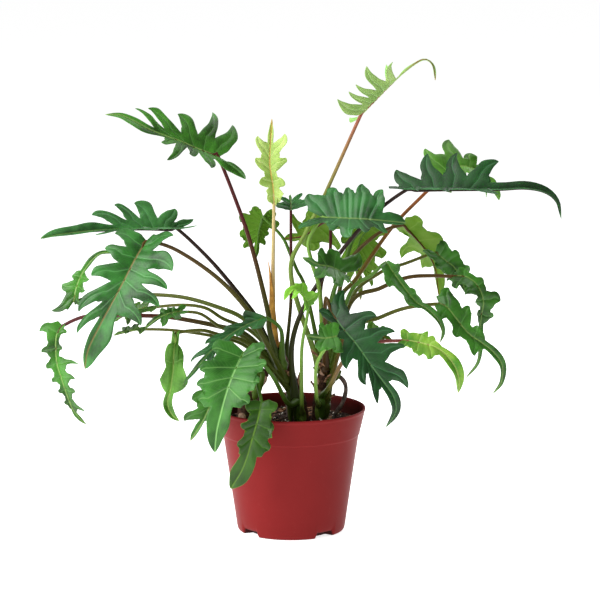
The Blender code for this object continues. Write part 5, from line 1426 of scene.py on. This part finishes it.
        chance = self.chance(number, side)
        beyond = np.concatenate((np.zeros(WEB_ROWS), share))[:, None]
        twist = math.tan(chance.normal(0.0, TWIST)) * columns * half * ease(beyond / 0.5)
        droop = chance.normal(-0.5, 1.0) * DROOP * length * beyond ** 2
        pillow = PILLOW * np.sin(math.pi * np.abs(columns)) * np.clip(half / 6.0, 0.0, 1.0)
        furrow = VEIN_FURROW * np.exp(-(vein / 1.3) ** 2)
        quilt = QUILT * np.sin((along - VEIN_LEAN * vein) * math.tau / VEIN_SPACING)
        quilt = quilt * (1 - np.abs(columns) ** 6)
        quilt = quilt * np.clip(vein / 1.5, 0.0, 1.0) * np.clip(edge / 2.5, 0.0, 1.0)
        raised = twist + droop + pillow * (1 - 0.7 * in_web) - furrow + quilt
        return flat, raised, follow

    def end_lobe(self, side):
        """Half of the end lobe: rows run along the rib to the tip and columns from the rib out.

        Its edge goes from the last cut to the tip, E(x) wide: the end width, eased in from the
        cut, times (1 - x^taper)^0.8.
        """
        root = np.array((self.roots[-1], 0.0))
        sinus = self.sinus(self.count, side)
        share = (1 - np.cos(np.linspace(0, math.pi, END_ROWS + 1))) / 2
        rib = np.stack((root[0] + (self.length - root[0]) * share, np.zeros_like(share)), axis=-1)
        chance = self.chance(self.count, side)
        wave = np.sin(share * chance.uniform(8.0, 12.0) + chance.uniform(0, math.tau))
        wave = 1 + WAVE * wave * ease(share / 0.2)
        width = sinus[1] + (self.end_width[side] - sinus[1]) * ease(share / END_SHOULDER)
        width = width * wave * (1 - share ** self.leaf.taper) ** 0.8
        width[0] = sinus[1]
        edge = np.stack((sinus[0] + (self.length - sinus[0]) * share, width), axis=-1)
        columns = np.linspace(0, 1, WEB_ROWS + 1)
        flat = rib[:, None] + (edge - rib)[:, None] * columns[:, None]
        reach = np.linalg.norm(edge - rib, axis=1)[:, None]
        pillow = PILLOW * np.sin(math.pi * columns) * np.clip(reach / 8.0, 0, 1)
        pillow = pillow * ease(share / 0.2)[:, None]
        sway = np.sin(share * 9.0) * ease(share / 0.3)
        curl = chance.normal(0.0, 0.6) * columns ** 2 * sway[:, None]
        # Its one vein is the rib, so the side veins are kept 1 mm clear of it.
        follow = np.stack(np.broadcast_arrays(columns * reach + 1.0, rib[:, :1],
                                              (1 - columns) * reach), axis=-1)
        return flat, pillow + curl, follow

    def surface(self):
        """The whole blade: places, faces that look to its upper side, and what its veins follow."""
        places, faces, follows, ribs = [], [], [], []
        size = 0
        for side in (1, -1):
            grids = [(*self.lobe(number, side), 1) for number in range(self.count)]
            grids.append((*self.end_lobe(side), -1))
            for flat, raised, follow, order in grids:
                out = flat[..., 1]
                raised = raised - RIB_FURROW * np.exp(-(out / RIB_FURROW_WIDTH) ** 2)
                places.append(self.place(flat, side, raised).reshape(-1, 3))
                quads = grid_faces(*flat.shape[:2])
                faces.append(size + (quads if order == side else quads[:, ::-1]))
                follows.append(follow.reshape(-1, 3))
                ribs.append(out.ravel())
                size += out.size
        return tuple(np.concatenate(part) for part in (places, faces, follows, ribs))


def bark_tree(stem):
    """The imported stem's surface, to seat stalks on."""
    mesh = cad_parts[stem.name].data
    return BVHTree.FromPolygons([vert.co for vert in mesh.vertices],
                                [face.vertices for face in mesh.polygons])


def beside_bark(stem, bark, height, outward):
    """Where the middle line of a stalk lies at a height, STALK_GAP clear of its stem's bark."""
    path = Path(stem.route)
    share = float(np.interp(height, path.dense[:, 2], path.marks))
    place = path.at(share) + outward * 2 * stem.foot
    for _ in range(SEAT_STEPS):
        clear = bark.find_nearest(Vector(place) * MM)[3] / MM - STALK_RADIUS
        place = place - outward * (clear - STALK_GAP)
    return place


def stalk_foot(leaf, bark, first):
    """A stalk's lowest places, with a base that runs down into its stem or into the soil."""
    stem = STEMS[leaf.stem]
    path = Path(stem.route)
    if leaf.height > stem.route[-1][2]:
        return [path.at(1.0) + path.along(1.0) * rise
                for rise in (-FOOT_SUNK, STALK_GAP, FOOT_LENGTH)]
    share = float(np.interp(leaf.height, path.dense[:, 2], path.marks))
    outward = unit((first - path.at(share)) * np.array((1.0, 1.0, 0.0)))
    foot, start = (beside_bark(stem, bark, height, outward)
                   for height in (leaf.height - FOOT_LENGTH, leaf.height))
    if leaf.height < IN_SOIL_BELOW:
        return [foot * (1, 1, 0) + (0, 0, SOIL_TOP - FOOT_SUNK), foot, start]
    return [foot - outward * 3.0 - (0, 0, 9.0), foot, start]


def build_leaf(leaf, bark, looks, skins):
    """A leaf: its blade, thickened to both sides, its stalk, and any dry sheath beside that."""
    blade = Blade(leaf)
    places, faces, follow, rib = blade.surface()
    tone, kind = FINISHES[leaf.name]
    node = f"leaf_{leaf.name}"
    piece = add_piece(f"{node}_blade", [node], places, faces,
                      [skins[tone], skins[tone, "beneath"]], {"lobe": follow, "rib": rib})
    solid = thicken(piece, looks.thickness)
    solid.material_offset = 1
    solid.use_even_offset = False
    path = build_stalk(leaf, blade, bark, skins["stalk", kind])
    if leaf.name in SHEATHED:
        build_sheath(node, path, SHEATHED[leaf.name])


def build_stalk(leaf, blade, bark, skin):
    """A leaf's stalk, which runs on under the whole rib; gives back its path.

    Its radius goes from STALK_RADIUS at its seat to STALK_END_RADIUS at the blade and then
    through RIB_RADII, times 1 + FOOT_SWELL exp(-(s / FOOT_SWELL_LENGTH)^2) at s mm above its
    seat. Below a long blade it is stouter, by STALK_STOUT and by up to STALK_SWELL at its foot.
    """
    stalk = [sight(*place) for place in leaf.stalk]
    thin = np.interp(UNDER_SHARES, RIB_SHARES, RIB_RADII)
    place, _, _, upper = blade.ways(np.array(UNDER_SHARES) * blade.length, 1)
    under = place - upper * (thin * 0.55 + 0.75)[:, None]
    feet = stalk_foot(leaf, bark, stalk[0])
    path = Path(feet + stalk + list(under))
    marks = path.marks[::Path.PIECES]
    first = len(feet) + len(stalk)
    radii = np.interp(marks, (marks[1], marks[first - 1]), (STALK_RADIUS, STALK_END_RADIUS))
    radii[first:] = thin
    shares = np.linspace(0, 1, max(LEAST_STALK_ROWS, int(path.length / STALK_ROW)))
    above_seat = ((shares - marks[1]) * path.length).clip(0)
    swell = 1 + FOOT_SWELL * np.exp(-(above_seat / FOOT_SWELL_LENGTH) ** 2)
    above = 1 - ease((shares - marks[first]) / (1 - marks[first]) / 0.3)
    below = 1 - ease(shares / marks[first])
    stout = min(1.0, blade.length / STOUT_BLADE) * (STALK_STOUT * above + STALK_SWELL * below)
    base = np.where(shares < marks[1], ease(0.25 + 0.75 * shares / marks[1]), 1.0)
    radius = np.interp(shares, marks, radii) * swell * (1 + stout) * base
    rows = tube(path, shares, radius, path.flat_way(), STALK_SIDES)

    turns = np.arange(STALK_SIDES) * math.tau / STALK_SIDES
    climb = np.concatenate((shares[:1], shares, shares[-1:]))[:, None]
    rise = np.broadcast_to(np.clip(climb / marks[first], 0.0, 1.0), rows.shape[:2])
    around = np.stack(np.broadcast_arrays(np.cos(turns), np.sin(turns),
                                          climb * path.length / STREAK_STRETCH), axis=-1)
    node = f"leaf_{leaf.name}"
    add_piece(f"{node}_stalk", [node], rows, grid_faces(len(rows), STALK_SIDES, True),
              [skin], {"rise": rise, "round": around})
    return path


def build_sheath(node, path, height):
    """The dry scale that a new leaf came out of: a gutter on the left of its stalk.

    Up the stalk, u runs from 0 to 1 over the scale's height. The gutter lies
    STALK_RADIUS + 0.8 + 2.6 (1 - u) from the stalk's middle line, its half angle is
    10 + 150 (1 - u)^0.5 degrees, and its tip leans away by 2.5 u^6.
    """
    up, over = np.meshgrid(np.linspace(0, 1, SHEATH_ROWS), np.linspace(-1, 1, SHEATH_COLUMNS),
                           indexing="ij")
    shares = (SHEATH_START + up[:, 0] * height) / path.length
    middle, ahead, aside = path.carried(shares, LEFT)
    angle = np.radians(10 + 150 * (1 - up) ** 0.5) * over
    away = STALK_RADIUS + 0.8 + 2.6 * (1 - up)
    places = (middle[:, None] + ahead[:, None] * (np.cos(angle) * away + 2.5 * up ** 6)[..., None]
              + aside[:, None] * (np.sin(angle) * away)[..., None])
    scale = crumb_material("dry_leaf_sheath", "#8E5410", "#D8A040", 6.0, 0.6)
    piece = add_piece(f"{node}_sheath", [node], places, grid_faces(*up.shape), [scale])
    thicken(piece, SHEATH_THICKNESS * MM)


def build_leaves(looks):
    """Every leaf of the table, with one skin for each tone and side and each kind of stalk."""
    barks = {name: bark_tree(stem) for name, stem in STEMS.items()}
    skins = {("stalk", kind): stalk_skin(kind, looks) for kind in STALKS}
    for tone in TONES:
        skins[tone] = leaf_skin(tone, False, looks)
        skins[tone, "beneath"] = leaf_skin(tone, True, looks)
    for leaf in LEAVES:
        build_leaf(leaf, barks[leaf.stem], looks, skins)


def add_softbox(name, place, target, power, width):
    """A round soft light at a place in metres that looks at a target."""
    lamp = bpy.data.lights.new(name, "AREA")
    lamp.energy = power
    lamp.shape = "DISK"
    lamp.size = width
    light = bpy.data.objects.new(name, lamp)
    light.location = place
    light.rotation_euler = (Vector(target) - Vector(place)).to_track_quat("-Z", "Y").to_euler()
    bpy.context.scene.collection.objects.link(light)


def build_stage(looks):
    """The camera at the photograph's angle, a white sheet to stand on and soft studio light."""
    scene = bpy.context.scene
    mesh = bpy.data.meshes.new("studio_floor")
    mesh.from_pydata([(-SHEET, -SHEET, 0), (SHEET, -SHEET, 0), (SHEET, SHEET, 0),
                      (-SHEET, SHEET, 0)], [], [(0, 1, 2, 3)])
    mesh.materials.append(studio_floor(looks))
    floor = bpy.data.objects.new("studio_floor", mesh)
    scene.collection.objects.link(floor)

    world = bpy.data.worlds.new("studio_air")
    world.use_nodes = True
    back = world.node_tree.nodes["Background"]
    back.inputs["Color"].default_value = shade("#FFFFFF")
    back.inputs["Strength"].default_value = looks.air
    scene.world = world
    add_softbox("key_softbox", (-1.9, -1.0, 1.5), (0.0, 0.0, 0.22), looks.key, 2.4)
    add_softbox("top_softbox", (0.1, 0.3, 2.0), (0.0, 0.0, 0.2), looks.top, 2.0)
    add_softbox("rim_softbox", (1.0, 1.4, 1.3), (0.0, 0.0, 0.2), looks.rim, 1.4)

    lens = bpy.data.cameras.new("photo_camera")
    lens.lens = LENS
    lens.sensor_width = SENSOR
    lens.clip_end = 100.0
    camera = bpy.data.objects.new("photo_camera", lens)
    camera.location = CAMERA
    camera.rotation_euler = (CAMERA_TILT, 0.0, 0.0)
    scene.collection.objects.link(camera)
    scene.camera = camera
    scene.view_settings.view_transform = "Standard"


class PlantPotLooks(bpy.types.PropertyGroup):
    """The pot's finish."""
    colour: FloatVectorProperty(name="Plastic colour", description="Colour of the moulded pot",
                                subtype="COLOR", size=3, min=0.0, max=1.0,
                                default=shade("#802121")[:3])
    roughness: FloatProperty(name="Roughness", description="How matt the plastic is",
                             subtype="FACTOR", min=0.05, max=1.0, default=0.42)


class PlantSoilLooks(bpy.types.PropertyGroup):
    """The soil's finish."""
    colour: FloatVectorProperty(name="Soil colour", description="Colour of the damp potting mix",
                                subtype="COLOR", size=3, min=0.0, max=1.0,
                                default=shade("#3A2218")[:3])


class PlantStemLooks(bpy.types.PropertyGroup):
    """The stems' finish."""
    colour: FloatVectorProperty(name="Bark colour", description="Colour of the bark's ridges",
                                subtype="COLOR", size=3, min=0.0, max=1.0,
                                default=shade("#6E4732")[:3])


class PlantLeafLooks(bpy.types.PropertyGroup):
    """The leaves' sizes and finish."""
    thickness: FloatProperty(name="Blade thickness", description="Thickness of every leaf blade",
                             unit="LENGTH", min=0.0002, max=0.002, default=0.0005, precision=4)
    wax: FloatProperty(name="Wax", description="Strength of the wax layer on a leaf's upper side",
                       subtype="FACTOR", min=0.0, max=1.0, default=0.05)
    stalk_roughness: FloatProperty(name="Stalk roughness", description="How matt the stalks are",
                                   subtype="FACTOR", min=0.05, max=1.0, default=0.4)


class PlantStageLooks(bpy.types.PropertyGroup):
    """The studio's floor and light."""
    colour: FloatVectorProperty(name="Floor colour", description="Colour of the paper floor",
                                subtype="COLOR", size=3, min=0.0, max=1.0,
                                default=shade("#F7F7F7")[:3])
    glow: FloatProperty(name="Floor glow", description="Light that the floor itself gives",
                        min=0.0, max=2.0, default=0.84)
    air: FloatProperty(name="Room light", description="Strength of the even light from all sides",
                       min=0.0, max=5.0, default=0.16)
    key: FloatProperty(name="Key light", description="Power of the softbox at the front left",
                       unit="POWER", min=0.0, max=500.0, default=92.0)
    top: FloatProperty(name="Top light", description="Power of the softbox overhead",
                       unit="POWER", min=0.0, max=500.0, default=16.0)
    rim: FloatProperty(name="Rim light", description="Power of the softbox behind on the right",
                       unit="POWER", min=0.0, max=500.0, default=13.0)


class PLANT_OT_pot(bpy.types.Operator):
    """Build the moulded nursery pot"""
    bl_idname = "plant.pot"
    bl_label = "Pot"

    def execute(self, context):
        build_pot(context.scene.plant_pot)
        return {"FINISHED"}


class PLANT_OT_soil(bpy.types.Operator):
    """Build the potting mix and the loose bits on it"""
    bl_idname = "plant.soil"
    bl_label = "Soil"

    def execute(self, context):
        build_soil(context.scene.plant_soil)
        build_crumbs()
        return {"FINISHED"}


class PLANT_OT_stems(bpy.types.Operator):
    """Build the woody stems with their scars and roots"""
    bl_idname = "plant.stems"
    bl_label = "Stems and roots"

    def execute(self, context):
        for stem in STEMS.values():
            build_stem(stem, context.scene.plant_stem)
        return {"FINISHED"}


class PLANT_OT_leaves(bpy.types.Operator):
    """Build every leaf: its blade and its stalk"""
    bl_idname = "plant.leaves"
    bl_label = "Leaves"

    def execute(self, context):
        build_leaves(context.scene.plant_leaf)
        return {"FINISHED"}


class PLANT_OT_stage(bpy.types.Operator):
    """Set up the camera, the floor and the lights"""
    bl_idname = "plant.stage"
    bl_label = "Stage"

    def execute(self, context):
        build_stage(context.scene.plant_stage)
        return {"FINISHED"}


class PLANT_PT_panel(bpy.types.Panel):
    """The sizes, colours and pieces of the plant"""
    bl_idname = "PLANT_PT_panel"
    bl_label = "Potted Philodendron"
    bl_space_type = "VIEW_3D"
    bl_region_type = "UI"
    bl_category = "Plant"

    def draw(self, context):
        layout = self.layout
        for operator, group in STEPS:
            box = layout.box()
            looks = getattr(context.scene, group)
            for setting in looks.__annotations__:
                box.prop(looks, setting)
            box.operator(operator.bl_idname)


STEPS = ((PLANT_OT_pot, "plant_pot"), (PLANT_OT_soil, "plant_soil"), (PLANT_OT_stems, "plant_stem"),
         (PLANT_OT_leaves, "plant_leaf"), (PLANT_OT_stage, "plant_stage"))
GROUPS = {"plant_pot": PlantPotLooks, "plant_soil": PlantSoilLooks, "plant_stem": PlantStemLooks,
          "plant_leaf": PlantLeafLooks, "plant_stage": PlantStageLooks}
CLASSES = (*GROUPS.values(), *(operator for operator, group in STEPS), PLANT_PT_panel)


def register():
    """Register every class and hang the groups of looks on the scene."""
    for kind in CLASSES:
        bpy.utils.register_class(kind)
    for name, group in GROUPS.items():
        setattr(bpy.types.Scene, name, PointerProperty(type=group))


def unregister():
    """Undo what register does, the last class first."""
    for name in GROUPS:
        delattr(bpy.types.Scene, name)
    for kind in reversed(CLASSES):
        bpy.utils.unregister_class(kind)


def main():
    """Build everything in order."""
    register()
    bpy.ops.plant.pot()
    bpy.ops.plant.soil()
    bpy.ops.plant.stems()
    bpy.ops.plant.leaves()
    bpy.ops.plant.stage()


if __name__ == "__main__":
    main()
